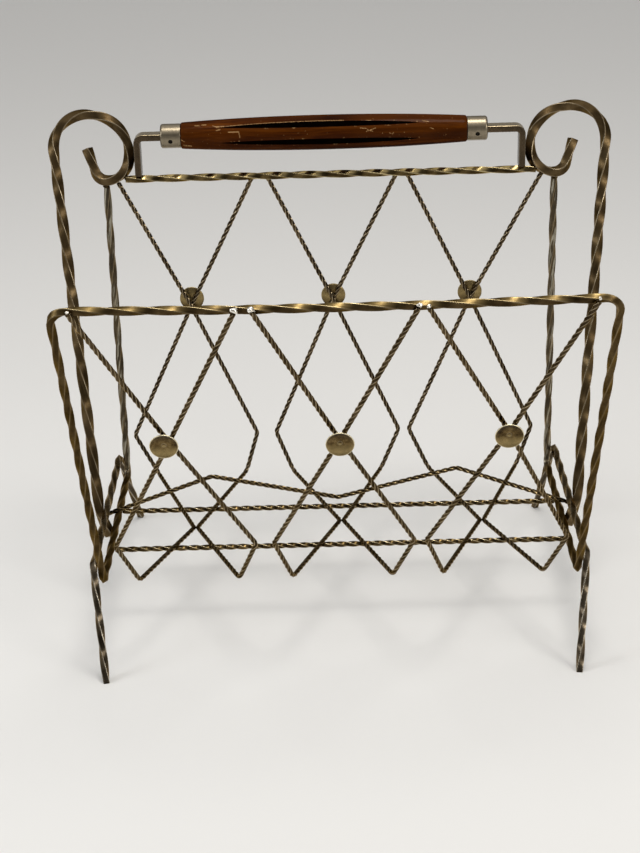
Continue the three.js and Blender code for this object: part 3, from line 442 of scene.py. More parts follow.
def wood():
    m, t, shader = new_material(
        "lacquered_wood",
        Specular_IOR_Level=0,
        Coat_Weight=0.07,
        Coat_Roughness=0.14,
        Coat_Tint=(1, 0.8, 0.6),
    )
    coord = new_node(t, "TexCoord").outputs["Object"]
    grain = noise(t, 9, 6, 0.62, stretch=(1, 14, 14), distortion=0.6)
    streak = noise(t, 60, 4, 0.6, stretch=(0.5, 9, 9))
    broad = noise(t, 14, 2, 0.5, stretch=(1, 2, 2), shift=(0.6, 0.2, 0.1))
    shades = [
        (0.3, (0.01, 0.0018, 0.0003)),
        (0.5, (0.034, 0.0072, 0.0008)),
        (0.7, (0.1, 0.0265, 0.002)),
    ]
    color = ramp(t, grain, shades)
    color = mix(t, span(t, streak, 0.5, 0.75, 0, 0.5), color, (0.013, 0.0028, 0.0005))
    color = mix(t, span(t, broad, 0.42, 0.68, 0, 0.6), color, (0.08, 0.0215, 0.0018))
    lip_points = [(x, worn_lip_elevation(x)) for x in np.linspace(*WORN_LIP)]
    worn_lip = [(*a, *b, WORN_LIP_WIDTH) for a, b in zip(lip_points, lip_points[1:])]
    marks = 0
    for x0, e0, x1, e1, width in SCRATCHES + worn_lip:
        one = segment(t, coord, grip_point(x0, e0), grip_point(x1, e1), width / 1000)
        marks = math_node(t, "MAXIMUM", marks, one)
    broken = noise(t, 900, 3, 0.7, shift=(0.5, 0.5, 0))
    marks = math_node(t, "MULTIPLY", marks, span(t, broken, 0.4, 0.52))
    # chips along the flutes' edges, and flecks all over
    chipping = span(t, noise(t, 210, 3, 0.6, shift=(0.1, 0, 0)), 0.6, 0.66)
    chips = math_node(t, "MULTIPLY", attribute(t, "lip"), chipping)
    flecks = span(t, noise(t, 520, 2, 0.5, shift=(0.9, 0.4, 0.2)), 0.73, 0.75, 0, 0.7)
    worn = math_node(t, "MAXIMUM", math_node(t, "MAXIMUM", marks, chips), flecks)
    color = mix(t, worn, color, (0.33, 0.19, 0.08))
    fill(t, shader, Base_Color=color, Roughness=span(t, worn, 0, 1, 0.27, 0.6))
    dent = math_node(t, "SUBTRACT", grain, math_node(t, "MULTIPLY", worn, 1.5))
    bump(t, shader, dent, GRAIN_DEPTH, 0.5)
    return m


def flute_paint():
    m, t, shader = new_material("black_flute", Specular_IOR_Level=0)
    n = noise(t, 500, 4, 0.7, stretch=(0.3, 1, 1))
    color = ramp(t, n, [(0.35, (0.0005, 0.0003, 0.0002)), (0.75, (0.003, 0.0014, 0.0008))])
    fill(t, shader, Base_Color=color, Roughness=span(t, n, 0.3, 0.7, 0.35, 0.6))
    bump(t, shader, n, 2 * GRIT_DEPTH, 0.5)
    return m


# ------------------------------------------------ rods
def unit(v):
    return v / np.linalg.norm(v)


def run_to(path, end, step):
    start = path[-1]
    steps = max(1, ceil(np.linalg.norm(end - start) / step))
    path.extend(start + (end - start) * i / steps for i in range(1, steps + 1))


def bent_path(corners, step, path=None):
    """Straight runs joined by round bends, from (point, bend radius) pairs"""
    corners = [(np.array(at, float), bend) for at, bend in corners]
    path = [corners[0][0]] if path is None else path
    for (before, _), (at, bend), (after, _) in zip(corners, corners[1:], corners[2:]):
        into, away = unit(at - before), unit(after - at)
        turn = acos(max(-1, min(1, into @ away)))
        start = at - into * bend * tan(turn / 2)
        inward = unit(away - into * (away @ into))
        centre = start + inward * bend
        run_to(path, start, step)
        steps = max(LEAST_BEND_STEPS, ceil(turn * bend / min(step, BEND_STEP)))
        for k in range(1, steps + 1):
            a = turn * k / steps
            path.append(centre - inward * bend * cos(a) + into * bend * sin(a))
    run_to(path, corners[-1][0], step)
    return path


def mirror(path):
    return [p * (-1, 1, 1) for p in path]


def bar_section(width, height, corner, per_corner=3, beside=0.45, middle=True):
    """Points round a bar with worn edges, and how close each lies to an edge, beside it or flat"""
    points, edge = [], []
    for q, signs in enumerate(((1, 1), (-1, 1), (-1, -1), (1, -1))):
        base = q * pi / 2
        centre = np.array(signs) * (np.array([width, height]) / 2 - corner)
        for k in range(per_corner):
            a = base + (pi / 2) * k / (per_corner - 1)
            points.append(centre + corner * np.array([cos(a), sin(a)]))
            edge.append(1 if 0 < k < per_corner - 1 else beside)
        if middle:
            n = base + pi / 2
            points.append(width / 2 * np.array([cos(n), sin(n)]))
            edge.append(0)
    return np.array(points), np.array(edge)


def distances(at):
    """How far along a path each of its points lies"""
    return np.concatenate([[0], np.cumsum(np.linalg.norm(np.diff(at, axis=0), axis=1))])


# Waves in a rod's twist: the length and the start of each
TWIST_WAVES = ((37, 0.4), (23, 1.9), (61, 4))


def sweep(path, lead=None, hand=1, across=(1, 0, 0), flat_at=None, wander=0):
    """Frames along a path: place, direction, side, up and twist; wander is the waves' degrees"""
    at = np.array(path)
    ahead = np.vstack([at[1:], at[-1:]]) - np.vstack([at[:1], at[:-1]])
    along = ahead / np.linalg.norm(ahead, axis=1)[:, None]
    travelled = distances(at)
    sides = np.empty_like(at)
    side = np.array(across, float)
    for i, d in enumerate(along):
        side = unit(side - d * (side @ d))
        sides[i] = side
    twist = np.zeros(len(at)) if lead is None else hand * 2 * pi * travelled / lead
    if wander:
        wave = radians(wander)
        twist = twist + sum(wave * np.sin(travelled / w + p) for w, p in TWIST_WAVES)
    if flat_at is not None:
        twist = twist - twist[np.argmin(np.linalg.norm(at - np.array(flat_at), axis=1))]
    return at, along, sides, np.cross(along, sides), twist


TIP_SLANT = 0.7


def rod_mesh(name, swept, section, edge, level=False, tip=0.35):
    """A closed bar with its section carried along the path and its ends lightly broken"""
    at, along, side, up, twist = swept
    n, k = len(at) + 2, len(section)
    c, s = np.cos(twist)[:, None, None], np.sin(twist)[:, None, None]
    a, b = section[None, :, 0:1], section[None, :, 1:2]
    rings = at[:, None, :] + side[:, None, :] * (a * c - b * s) + up[:, None, :] * (a * s + b * c)
    if level:
        for i in (0, -1):
            p = rings[i]
            rings[i] = p - along[i] * (p[:, 2:3] / along[i][2])
    # a small inset ring at each end breaks the cut edge
    inset = 1 - tip / section.max()
    first, last = (r.mean(0) + (r - r.mean(0)) * inset for r in (rings[0], rings[-1]))
    rings[0] += along[0] * tip * TIP_SLANT
    rings[-1] -= along[-1] * tip * TIP_SLANT
    rings = np.concatenate([first[None], rings, last[None]])
    faces = []
    for i in range(n - 1):
        for j in range(k):
            j2 = (j + 1) % k
            faces.append((i * k + j, i * k + j2, (i + 1) * k + j2, (i + 1) * k + j))
    faces.append(tuple(range(k - 1, -1, -1)))
    faces.append(tuple((n - 1) * k + j for j in range(k)))
    travelled = distances(at)
    travelled = np.concatenate([travelled[:1], travelled, travelled[-1:]]) / 1000
    rod = np.empty((n, k, 3), np.float32)
    rod[:, :, 0] = travelled[:, None]
    rod[:, :, 1:] = section[None] / 1000
    piece = make(name, rings.reshape(-1, 3), faces, edge=np.tile(edge, n))
    vectors = piece.data.attributes.new("rod", "FLOAT_VECTOR", "POINT")
    vectors.data.foreach_set("vector", rod.reshape(-1))
    weigh_normals(piece)
    return piece


def put(name, data):
    """A new object in the scene"""
    o = bpy.data.objects.new(name, data)
    bpy.context.scene.collection.objects.link(o)
    return o


def mark(mesh, name, values):
    """A value at each point of a mesh, for its material"""
    points = mesh.attributes.new(name, "FLOAT", "POINT")
    points.data.foreach_set("value", np.asarray(values, np.float32))


def smooth(mesh):
    mesh.polygons.foreach_set("use_smooth", np.ones(len(mesh.polygons), bool))


def make(name, points, faces, **marks):
    """A mesh object from millimetre points, placed in the frame"""
    mesh = bpy.data.meshes.new(name)
    mesh.from_pydata(metres(points).tolist(), [], faces)
    mesh.update()
    for key, values in marks.items():
        mark(mesh, key, values)
    smooth(mesh)
    return put(name, mesh)


def weigh_normals(piece):
    """Keeps the shading of flats flat between rounded or sharp edges"""
    piece.modifiers.new("weighted", "WEIGHTED_NORMAL").keep_sharp = True


def dress(piece, material, slot, *nodes):
    piece.data.materials.clear()
    piece.data.materials.append(material)
    settle(piece, slot, *nodes)


def settle(piece, slot, *nodes):
    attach(piece, "root")
    if nodes:
        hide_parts(*nodes)


rod_section = bar_section(FRAME_SIDE, FRAME_SIDE, FRAME_CORNER)
scroll_side = SCROLL_SIDE * SCROLL_SHARE
scroll_section = bar_section(scroll_side, scroll_side, SCROLL_CORNER)
floor_section = bar_section(FLOOR_SIDE, FLOOR_SIDE, FLOOR_CORNER)
wire_section = bar_section(WIRE_SIDE, WIRE_SIDE, WIRE_CORNER, per_corner=2, beside=1)
bracket_section = bar_section(BRACKET_DEPTH, BRACKET_THICKNESS, BRACKET_CORNER, 4, 0.4, False)
LEFT_RIGHT = {-1: "left", 1: "right"}

# Basket frame
UP = np.array([0, -sin(FRONT_LEAN), cos(FRONT_LEAN)])
OUT = np.array([0, -cos(FRONT_LEAN), -sin(FRONT_LEAN)])


def rim_drop(x):
    """The rim sags towards its middle third, which is level"""
    return RIM_SAG * min(1, (RIM_HALF_WIDTH - abs(x)) / (RIM_HALF_WIDTH * 2 / 3))


def rim_at(x):
    return np.array([x, RIM_Y, RIM_HEIGHT]) - UP * rim_drop(x)


def frame_half(hand):
    """From the top of a rear upright to the middle of the rim, drawn on the left"""
    return bent_path(
        [
            ((-FRAME_HALF_WIDTH, REAR, UPRIGHT_TOP[hand]), 0),
            ((-FRAME_HALF_WIDTH, REAR, FLOOR_HEIGHT), FLOOR_BEND),
            ((-FRAME_HALF_WIDTH, FRONT, FLOOR_HEIGHT), FLOOR_BEND),
            (rim_at(-RIM_HALF_WIDTH), RIM_BEND),
            (rim_at(-RIM_HALF_WIDTH / 3), RIM_HALF_WIDTH),
            (rim_at(0), 0),
        ],
        FRAME_STEP,
    )


frame_path = frame_half(-1) + mirror(frame_half(1))[::-1][1:]
swept = sweep(frame_path, FRAME_LEAD, flat_at=rim_at(0), wander=3)
basket_rod = rod_mesh("basket_frame_rod", swept, *rod_section)
co = np.empty(len(basket_rod.data.vertices) * 3, np.float32)
basket_rod.data.vertices.foreach_get("co", co)
y, z = co[1::3], co[2::3]
# the rim's band, whose upward faces get a painted golden highlight
painted_highlight = np.clip((z * 1000 - (RIM_HEIGHT - HIGHLIGHT_BAND)) / HIGHLIGHT_FADE, 0, 1) * (y < 0)
mark(basket_rod.data, "painted_highlight", painted_highlight)
# the rear uprights, which get painted silvery reflection streaks
mark(basket_rod.data, "painted_reflection", np.clip((y * 1000 - SHIFT[1] - REAR + REFLECTION_BAND) / REFLECTION_FADE, 0, 1))
dress(basket_rod, dark_rod, "dark_rod", "basket_frame")

# Rear rail
rail_path = bent_path([((x, REAR, RAIL_HEIGHT), 0) for x in RAIL_ENDS], FRAME_STEP)
swept = sweep(rail_path, FRAME_LEAD, across=(0, 1, 0), flat_at=(0, REAR, RAIL_HEIGHT), wander=3)
rear_rail = rod_mesh("rear_rail_rod", swept, *rod_section)
# the whole rear rail gets the painted golden highlight on its upward faces
mark(rear_rail.data, "painted_highlight", np.ones(len(rear_rail.data.vertices)))
dress(rear_rail, rail_rod, "bright_rod", "rear_top_rail")

# Leg frames
rear_end = REAR + LEG_BAR_REAR_OVERHANG
leg_path = bent_path(
    [
        ((LEG_X - LEG_TUCK_FRONT, FRONT - LEG_SPLAY_FRONT, 0), 0),
        ((LEG_X, FRONT, LEG_BAR_HEIGHT), LEG_BEND),
        ((LEG_X, rear_end, LEG_BAR_HEIGHT), LEG_BEND),
        ((LEG_X - LEG_TUCK_REAR, rear_end + LEG_SPLAY_REAR, 0), 0),
    ],
    FRAME_STEP,
)

# Scroll arms: free end, curl, hook, crown, straight run and foot, in a plane that leans back
lean = atan2(REAR - ARM_FOOT_FORWARD, RAIL_HEIGHT - LEG_BAR_HEIGHT + ARM_KNEE_DROP)
knee_x = LEG_X + FRAME_SIDE / 2 + CLEARANCE + SCROLL_SIDE / 2
knee = np.array([knee_x, ARM_FOOT_FORWARD, LEG_BAR_HEIGHT - ARM_KNEE_DROP])


def in_plane(u, v):
    return np.array([u, REAR + v * sin(lean), RAIL_HEIGHT + v * cos(lean)])


def on_arc(centre, radius, a):
    return in_plane(centre[0] + radius * cos(a), centre[1] + radius * sin(a))


def add_arc(path, centre, radius, start, stop):
    steps = ceil(abs(stop - start) * radius / ARC_STEP)
    angles = (start + (stop - start) * k / steps for k in range(1, steps + 1))
    path.extend(on_arc(centre, radius, a) for a in angles)


def toward(a, length):
    return length * np.array([cos(a), sin(a)])


def arm_path(hand):
    out, rise, radius, start = HOOKS[hand]
    hook = np.array([out, rise])
    crown = hook - toward(start, CROWN_RADIUS - radius)
    curl = hook + toward(CURL_START, radius - CURL_RADIUS)
    shoulder = crown + toward(CROWN_TOP, CROWN_RADIUS - SHOULDER_RADIUS)
    shoulder = shoulder + toward(CROWN_TOP - pi / 2, CROWN_FLAT)
    to_knee = np.array([knee[0], -(RAIL_HEIGHT - knee[2]) / cos(lean)]) - shoulder
    leave = atan2(to_knee[1], to_knee[0])
    leave += acos(SHOULDER_RADIUS / np.linalg.norm(to_knee))
    arc_start = on_arc(curl, CURL_RADIUS, CURL_STOP)
    end_direction = in_plane(-sin(CURL_STOP), cos(CURL_STOP)) - in_plane(0, 0)
    path = [arc_start + end_direction * CURL_END_LENGTH]
    run_to(path, arc_start, RUN_STEP)
    add_arc(path, curl, CURL_RADIUS, CURL_STOP, CURL_START)
    add_arc(path, hook, radius, CURL_START, start)
    add_arc(path, crown, CROWN_RADIUS, start, CROWN_TOP)
    run_to(path, on_arc(shoulder, SHOULDER_RADIUS, CROWN_TOP), RUN_STEP)
    add_arc(path, shoulder, SHOULDER_RADIUS, CROWN_TOP, leave)
    return bent_path([(path[-1], 0), (knee, ARM_BEND), (FOOT_TOE, 0)], ARM_STEP, path)


for hand, side in LEFT_RIGHT.items():
    flat_at = (hand * LEG_X, ARM_FOOT_FORWARD, LEG_BAR_HEIGHT)
    legs = leg_path if hand > 0 else mirror(leg_path)
    at, *rest = sweep(legs, FRAME_LEAD, hand, flat_at=flat_at, wander=3)
    swept = (at - np.array([hand * LEG_INWARD[hand], 0, 0]), *rest)
    rod = rod_mesh("leg_rod_" + side, swept, *rod_section, level=True)
    dress(rod, leg_rod, "dark_rod", "leg_frame_" + side)
    arm = arm_path(hand) if hand > 0 else mirror(arm_path(hand))
    at, *rest = sweep(arm, SCROLL_LEAD, hand, flat_at=flat_at, wander=2)
    swept = (at - np.array([hand * ARM_INWARD[hand], 0, 0]), *rest)
    rod = rod_mesh("scroll_rod_" + side, swept, *scroll_section, tip=0.45)
    dress(rod, scroll_rod, "dark_rod", "scroll_arm_" + side)

# Floor rails
for where, (y, end) in FLOOR_RAILS.items():
    path = bent_path([((x, y, FLOOR_RAIL_HEIGHT), 0) for x in (-end, end)], FLOOR_STEP)
    flat_at = (0, y, FLOOR_RAIL_HEIGHT)
    swept = sweep(path, FLOOR_LEAD, across=(0, 1, 0), flat_at=flat_at, wander=3)
    rod = rod_mesh("floor_rod_" + where, swept, *floor_section)
    dress(rod, bright_rod, "bright_rod", "floor_rail_" + where)

# Divider
DIVIDER_SHIFT, DIVIDER_BEND = 15, 8
LEFT_OVERHANG, RIGHT_OVERHANG = 15, 9
PEAK_SPREAD, PEAK_STRAY = 104.5, -3
LEFT_RISE, VALLEY_RISE, RIGHT_RISE = 30, 7.5, 32.5
slope = LEFT_RISE / (FRAME_HALF_WIDTH - PEAK_SPREAD)
lift = DIVIDER_SEAT + FRAME_SIDE * sqrt(0.5) * slope - DIVIDER_DOWN
# the ends, the two peaks and the valley: place, rise and bend
turns = (
    (-FRAME_HALF_WIDTH - LEFT_OVERHANG, -LEFT_OVERHANG * slope, 0),
    (-PEAK_SPREAD + PEAK_STRAY, LEFT_RISE, DIVIDER_BEND),
    (0, VALLEY_RISE, DIVIDER_BEND),
    (PEAK_SPREAD + PEAK_STRAY, RIGHT_RISE, DIVIDER_BEND),
    (FRAME_HALF_WIDTH + RIGHT_OVERHANG, -RIGHT_OVERHANG * slope, 0),
)
divider = bent_path([((x, DIVIDER_SHIFT, lift + rise), bend) for x, rise, bend in turns], WIRE_STEP)
swept = sweep(divider, WIRE_LEAD, across=(0, 1, 0))
rod = rod_mesh("divider_rod", swept, *wire_section, tip=0.2)
dress(rod, divider_metal, "bright_rod", "divider_wire")

# Lattice
# How far each column strays: at the rail and its half width there, the rear crossing and its rise,
# rear widest, floor, front fold, front widest, front crossing and its rise, the rim and its half
# width there, the front medallion and its rise
STRAYS = {
    -1: (-1.3, 2.3, -1.8, -1.2, -4, 0.6, 1, 1.5, -1.8, 0, -1.4, 0.3, -2, 1.5),
    0: (1.3, 0.5, 0.3, 1.7, 1, 2.6, 2, 3.4, 0.4, -1.6, 0, 0.9, 1.2, 0.6),
    1: (0.3, 2.7, -2.2, -0.5, -2, -0.6, 0.5, 0.9, 1.3, 4, -2.2, 1.6, 0.5, 0),
}
# How far each wire stands off the rail and the rim at its ends, by column and by wire
RAIL_OUT = {-1: {1: 5.731, -1: 4.914}, 0: {1: 5.216, -1: 5.211}, 1: {1: 5.165, -1: 5.664}}
RIM_OUT = {-1: {1: 5.825, -1: 5.708}, 0: {1: 5.209, -1: 5.19}, 1: {1: 5.542, -1: 5.636}}
CROSS_OFFSET = WIRE_RADIUS + CROSSING_GAP / 2
REAR_RISE = RAIL_HEIGHT - FLOOR_HEIGHT
COLUMNS = {-1: "left", 0: "middle", 1: "right"}


def lattice_path(column, hand):
    rail, rail_half, rear_cross, rear_rise, rear_widest, kiss, *strays = STRAYS[column]
    fold, widest, cross, cross_rise, rim, rim_half = strays[:6]
    middle = column * COLUMN_PITCH
    rail_out, rim_out = RAIL_OUT[column][hand], RIM_OUT[column][hand]

    def rear(half, rise, extra, astray):
        out = rail_out * rise / REAR_RISE
        return (middle + hand * half + astray, REAR + out + extra, FLOOR_HEIGHT + rise)

    def front(half, rise, extra, astray):
        out = rim_out * rise / FRONT_PANEL_LENGTH + extra
        fold_at = np.array([middle + hand * half + astray, FRONT, FLOOR_HEIGHT])
        return fold_at + UP * rise + OUT * out

    kissing = -(KISS_GAP / 2 + WIRE_RADIUS)
    end_drop = HOOK_END_DROP if column * hand > 0 else RAIL_END_DROP
    rim_half += WIDEST_HALF
    front_top = FRONT_PANEL_LENGTH - rim_drop(middle + hand * rim_half + rim) + RIM_END_OVERRUN
    rear_cross_rise, front_cross_rise = REAR_CROSS_RISE + rear_rise, FRONT_CROSS_RISE + cross_rise
    return bent_path(
        [
            (rear(WIDEST_HALF + rail_half, REAR_RISE - end_drop, 0, rail), 0),
            (rear(0, rear_cross_rise, hand * CROSS_OFFSET, rear_cross), WIRE_BEND),
            (rear(-WIDEST_HALF, REAR_WIDEST_RISE, 0, rear_widest), WIRE_BEND),
            (rear(-FOLD_HALF, 0, 0, 0), FLOOR_BEND),
            ((middle + hand * kissing + kiss, KISS_SHIFT[column], FLOOR_HEIGHT), KISS_BEND),
            (front(-FOLD_HALF, 0, 0, fold), FLOOR_BEND),
            (front(-WIDEST_HALF, FRONT_WIDEST_RISE, 0, widest), WIRE_BEND),
            (front(0, front_cross_rise, hand * CROSS_OFFSET, cross), WIRE_BEND),
            (front(rim_half, front_top, 0, rim), 0),
        ],
        WIRE_STEP,
    )


# each wire's rear end, front end and the direction of its last few points
wire_ends = []
for column, name in COLUMNS.items():
    for letter, hand in (("a", 1), ("b", -1)):
        path = lattice_path(column, hand)
        wire_ends.append((path[0], path[-1], path[-1] - path[-6]))
        swept = sweep(path, WIRE_LEAD, wander=6)
        wire = rod_mesh(f"lattice_rod_{name}_{letter}", swept, *wire_section, tip=0.2)
        dress(wire, lattice_metal, "lattice", f"lattice_wire_{name}_{letter}")


# ------------------------------------------------ turned pieces
def turned(name, profile, place, sides, clockwise=False, edge=None):
    """A closed shape turned from (radius, height) pairs, the first and last on its axis"""
    points, rows, faces = [], [], []
    for r, h in profile:
        count = 1 if r == 0 else sides
        rows.append(range(len(points), len(points) + count))
        points.extend(place(r, h, 2 * pi * j / sides) for j in range(count))
    for lower, upper in zip(rows, rows[1:]):
        for j in range(sides):
            j2 = (j + 1) % sides
            if len(lower) == 1:
                face = (lower[0], upper[j2], upper[j])
            elif len(upper) == 1:
                face = (lower[j], lower[j2], upper[0])
            else:
                face = (lower[j], lower[j2], upper[j2], upper[j])
            faces.append(face[:1] + face[:0:-1] if clockwise else face)
    marks = {} if edge is None else {"edge": np.repeat(edge, [len(row) for row in rows])}
    return make(name, points, faces, **marks)


# Medallions: pressed dished discs with a rolled rim and a weld dimple in the middle, from the
# axis on the back round to the axis on the face, with how worn each ring is
def disc_profile(radius, dish, thickness):
    back = [(radius * s, dish * s * s) for s in (0, 0.2, 0.4, 0.6, 0.75, 0.88, 0.96)]
    rim = [
        (radius * 0.99, dish * 0.99 + 0.1),
        (radius, dish + thickness * 0.45),
        (radius * 0.99, dish + thickness * 0.85),
        (radius * 0.965, dish + thickness),
        (radius * 0.935, dish + thickness * 0.93),
    ]
    face = [(radius * s, dish * s * s + thickness) for s in (0.88, 0.75, 0.6, 0.4, 0.24)]
    dimple = [
        (radius * 0.17, thickness + 0.13),
        (radius * 0.12, thickness + 0.1),
        (radius * 0.07, thickness - 0.22),
        (0, thickness - 0.3),
    ]
    edge = [0] * len(back) + [0.5, 1, 1, 0.8, 0.25] + [0] * len(face) + [0.3, 0.2, 0, 0]
    return back + rim + face + dimple, edge


def medallion(where, name, centre, facing):
    turn = Vector((0, 0, 1)).rotation_difference(Vector(facing)).to_matrix()

    def place(r, h, a):
        return np.array(centre) + np.array(turn @ Vector((r * cos(a), r * sin(a), h)))

    profile, edge = disc_profile(MEDALLION_RADIUS, MEDALLION_DISH, MEDALLION_THICKNESS)
    disc = turned(f"medallion_{where}_{name}", profile, place, 56, edge=edge)
    dress(disc, medallion_material, "medallion", f"{where}_medallion_{name}")


medallion_material = medallion_metal()
medallion_gap = CROSS_OFFSET + WIRE_RADIUS + CLEARANCE
facing_up = FRONT_LEAN - MEDALLION_TILT
for column, name in COLUMNS.items():
    rear_cross, cross, cross_rise, aside, raised = (STRAYS[column][i] for i in (2, 8, 9, 12, 13))
    middle = column * COLUMN_PITCH
    rise = FRONT_CROSS_RISE + cross_rise + raised + MEDALLION_RAISE
    centre = np.array([middle + cross + aside, FRONT, FLOOR_HEIGHT]) + UP * rise
    centre = centre + OUT * (PANEL_LIFT + medallion_gap - SETTLED["front"][column])
    medallion("front", name, centre, (0, -cos(facing_up), -sin(facing_up)))
    behind = REAR + RAIL_LIFT + medallion_gap - SETTLED["rear"][column]
    centre = (middle + rear_cross, behind, FLOOR_HEIGHT + REAR_MEDALLION_RISE)
    medallion("rear", name, centre, (0, 1, 0))

# Handle brackets
bracket_bar = bracket_metal()
for hand, side in LEFT_RIGHT.items():
    end = GRIP_SHIFT + hand * GRIP_LENGTH / 2 + hand * BRACKET_END_GAP
    path = bent_path(
        [
            ((hand * BRACKET_HALF_SPREAD, REAR, BRACKET_SEAT), 0),
            ((hand * BRACKET_HALF_SPREAD, REAR, GRIP_HEIGHT), BRACKET_BEND),
            ((end, REAR, GRIP_HEIGHT), 0),
        ],
        BRACKET_STEP,
    )
    swept = sweep(path, across=(0, 1, 0))
    rod = rod_mesh("bracket_bar_" + side, swept, *bracket_section, tip=0.2)
    dress(rod, bracket_bar, "dark_rod", "handle_bracket_" + side)


# Ferrules: turned cups with a rounded shoulder, drilled for the pin
def cut(piece, tool):
    """Cuts tool out of piece and keeps the result as its mesh"""
    m = piece.modifiers.new("cut", "BOOLEAN")
    m.operation = "DIFFERENCE"
    m.solver = "EXACT"
    m.object = tool
    bpy.context.view_layer.update()
    depsgraph = bpy.context.evaluated_depsgraph_get()
    done = bpy.data.meshes.new_from_object(piece.evaluated_get(depsgraph))
    piece.modifiers.clear()
    piece.data = done
    bpy.data.objects.remove(tool)


def turn_out(piece):
    b = bmesh.new()
    b.from_mesh(piece.data)
    bmesh.ops.recalc_face_normals(b, faces=b.faces)
    b.to_mesh(piece.data)
    b.free()


def round_x(r, x, a):
    """A place round the grip's axis"""
    return (x, REAR - r * cos(a), GRIP_HEIGHT + r * sin(a))


def drill(at, direction):
    b = bmesh.new()
    radius, depth = DRILL_RADIUS / 1000, DRILL_DEPTH / 1000
    bmesh.ops.create_cone(
        b, cap_ends=True, segments=28, radius1=radius, radius2=radius, depth=depth
    )
    mesh = bpy.data.meshes.new("drill")
    b.to_mesh(mesh)
    b.free()
    o = put("drill", mesh)
    turn = Vector((0, 0, 1)).rotation_difference(Vector(direction)).to_matrix().to_4x4()
    o.matrix_world = Matrix.Translation(metres(at)) @ turn
    return o


# (distance from the middle of the handle's end, radius), from the closed end to the mouth
cup = [(FERRULE_LENGTH, 0), (FERRULE_LENGTH, FERRULE_FACE)]
for k in range(7):
    a = radians(15 * k)
    along = FERRULE_LENGTH - FERRULE_CHAMFER * (1 - cos(a))
    cup.append((along, FERRULE_RADIUS - FERRULE_CHAMFER * (1 - sin(a))))
cup += [
    (FERRULE_LENGTH * 0.5, FERRULE_RADIUS),
    (0.8, FERRULE_RADIUS),
    (0.5, FERRULE_RADIUS - 0.08),
    (FERRULE_MOUTH, FERRULE_RADIUS - 0.3),
    (FERRULE_MOUTH, FERRULE_BORE),
    (FERRULE_MOUTH, 0),
]
ferrule_material, pin_and_hole_shade = ferrule_metal(), pin_metal()
pin_direction = np.array([0, -cos(PIN_ELEVATION), sin(PIN_ELEVATION)])
for hand, side in LEFT_RIGHT.items():
    end = GRIP_SHIFT + hand * GRIP_LENGTH / 2
    profile = [(r, end + hand * x) for x, r in cup]
    ferrule = turned("ferrule_cup_" + side, profile, round_x, 72, clockwise=True)
    turn_out(ferrule)
    middle = np.array([end + hand * FERRULE_LENGTH / 2, REAR, GRIP_HEIGHT])
    cut(ferrule, drill(middle + pin_direction * (FERRULE_RADIUS - 0.3), pin_direction))
    smooth(ferrule.data)
    dress(ferrule, ferrule_material, "ferrule", "ferrule_" + side)
    ferrule.data.materials.append(pin_and_hole_shade)
    # the faces inside the drilled hole take the pin's dark material, as painted shade in the hole
    at_middle, axis = Vector(metres(middle)), Vector(pin_direction)
    for p in ferrule.data.polygons:
        away = p.center - at_middle
        out = away.dot(axis)
        within = (away - out * axis).length < (DRILL_RADIUS + 0.05) / 1000
        if within and 0 < out < (FERRULE_RADIUS - 0.12) / 1000:
            p.material_index = 1
    weigh_normals(ferrule)
    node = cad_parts["ferrule_pin_" + side]
    node.data.materials.clear()
    node.data.materials.append(pin_and_hole_shade)


# ------------------------------------------------ grip
def flute_half_width(x):
    share = (x - GRIP_SHIFT - FLUTE_SHIFT) / FLUTE_HALF_LENGTH
    return FLUTE_HALF_WIDTH * max(0, 1 - share * share) ** 0.75 + 0.02


def grip_places():
    """Places along the grip, closer together at its ends and at the flutes' ends"""
    half, fine = GRIP_LENGTH / 2, 12
    flute_end = np.linspace(FLUTE_HALF_LENGTH - fine, FLUTE_HALF_LENGTH, 16)
    flute_start = np.linspace(-FLUTE_HALF_LENGTH, -FLUTE_HALF_LENGTH + fine, 16)
    ends = [-half + 0.15, -half + 0.5, half - 0.5, half - 0.15]
    runs = [np.linspace(-half, half, 141), ends, flute_start + FLUTE_SHIFT, flute_end + FLUTE_SHIFT]
    return np.unique(np.concatenate(runs))


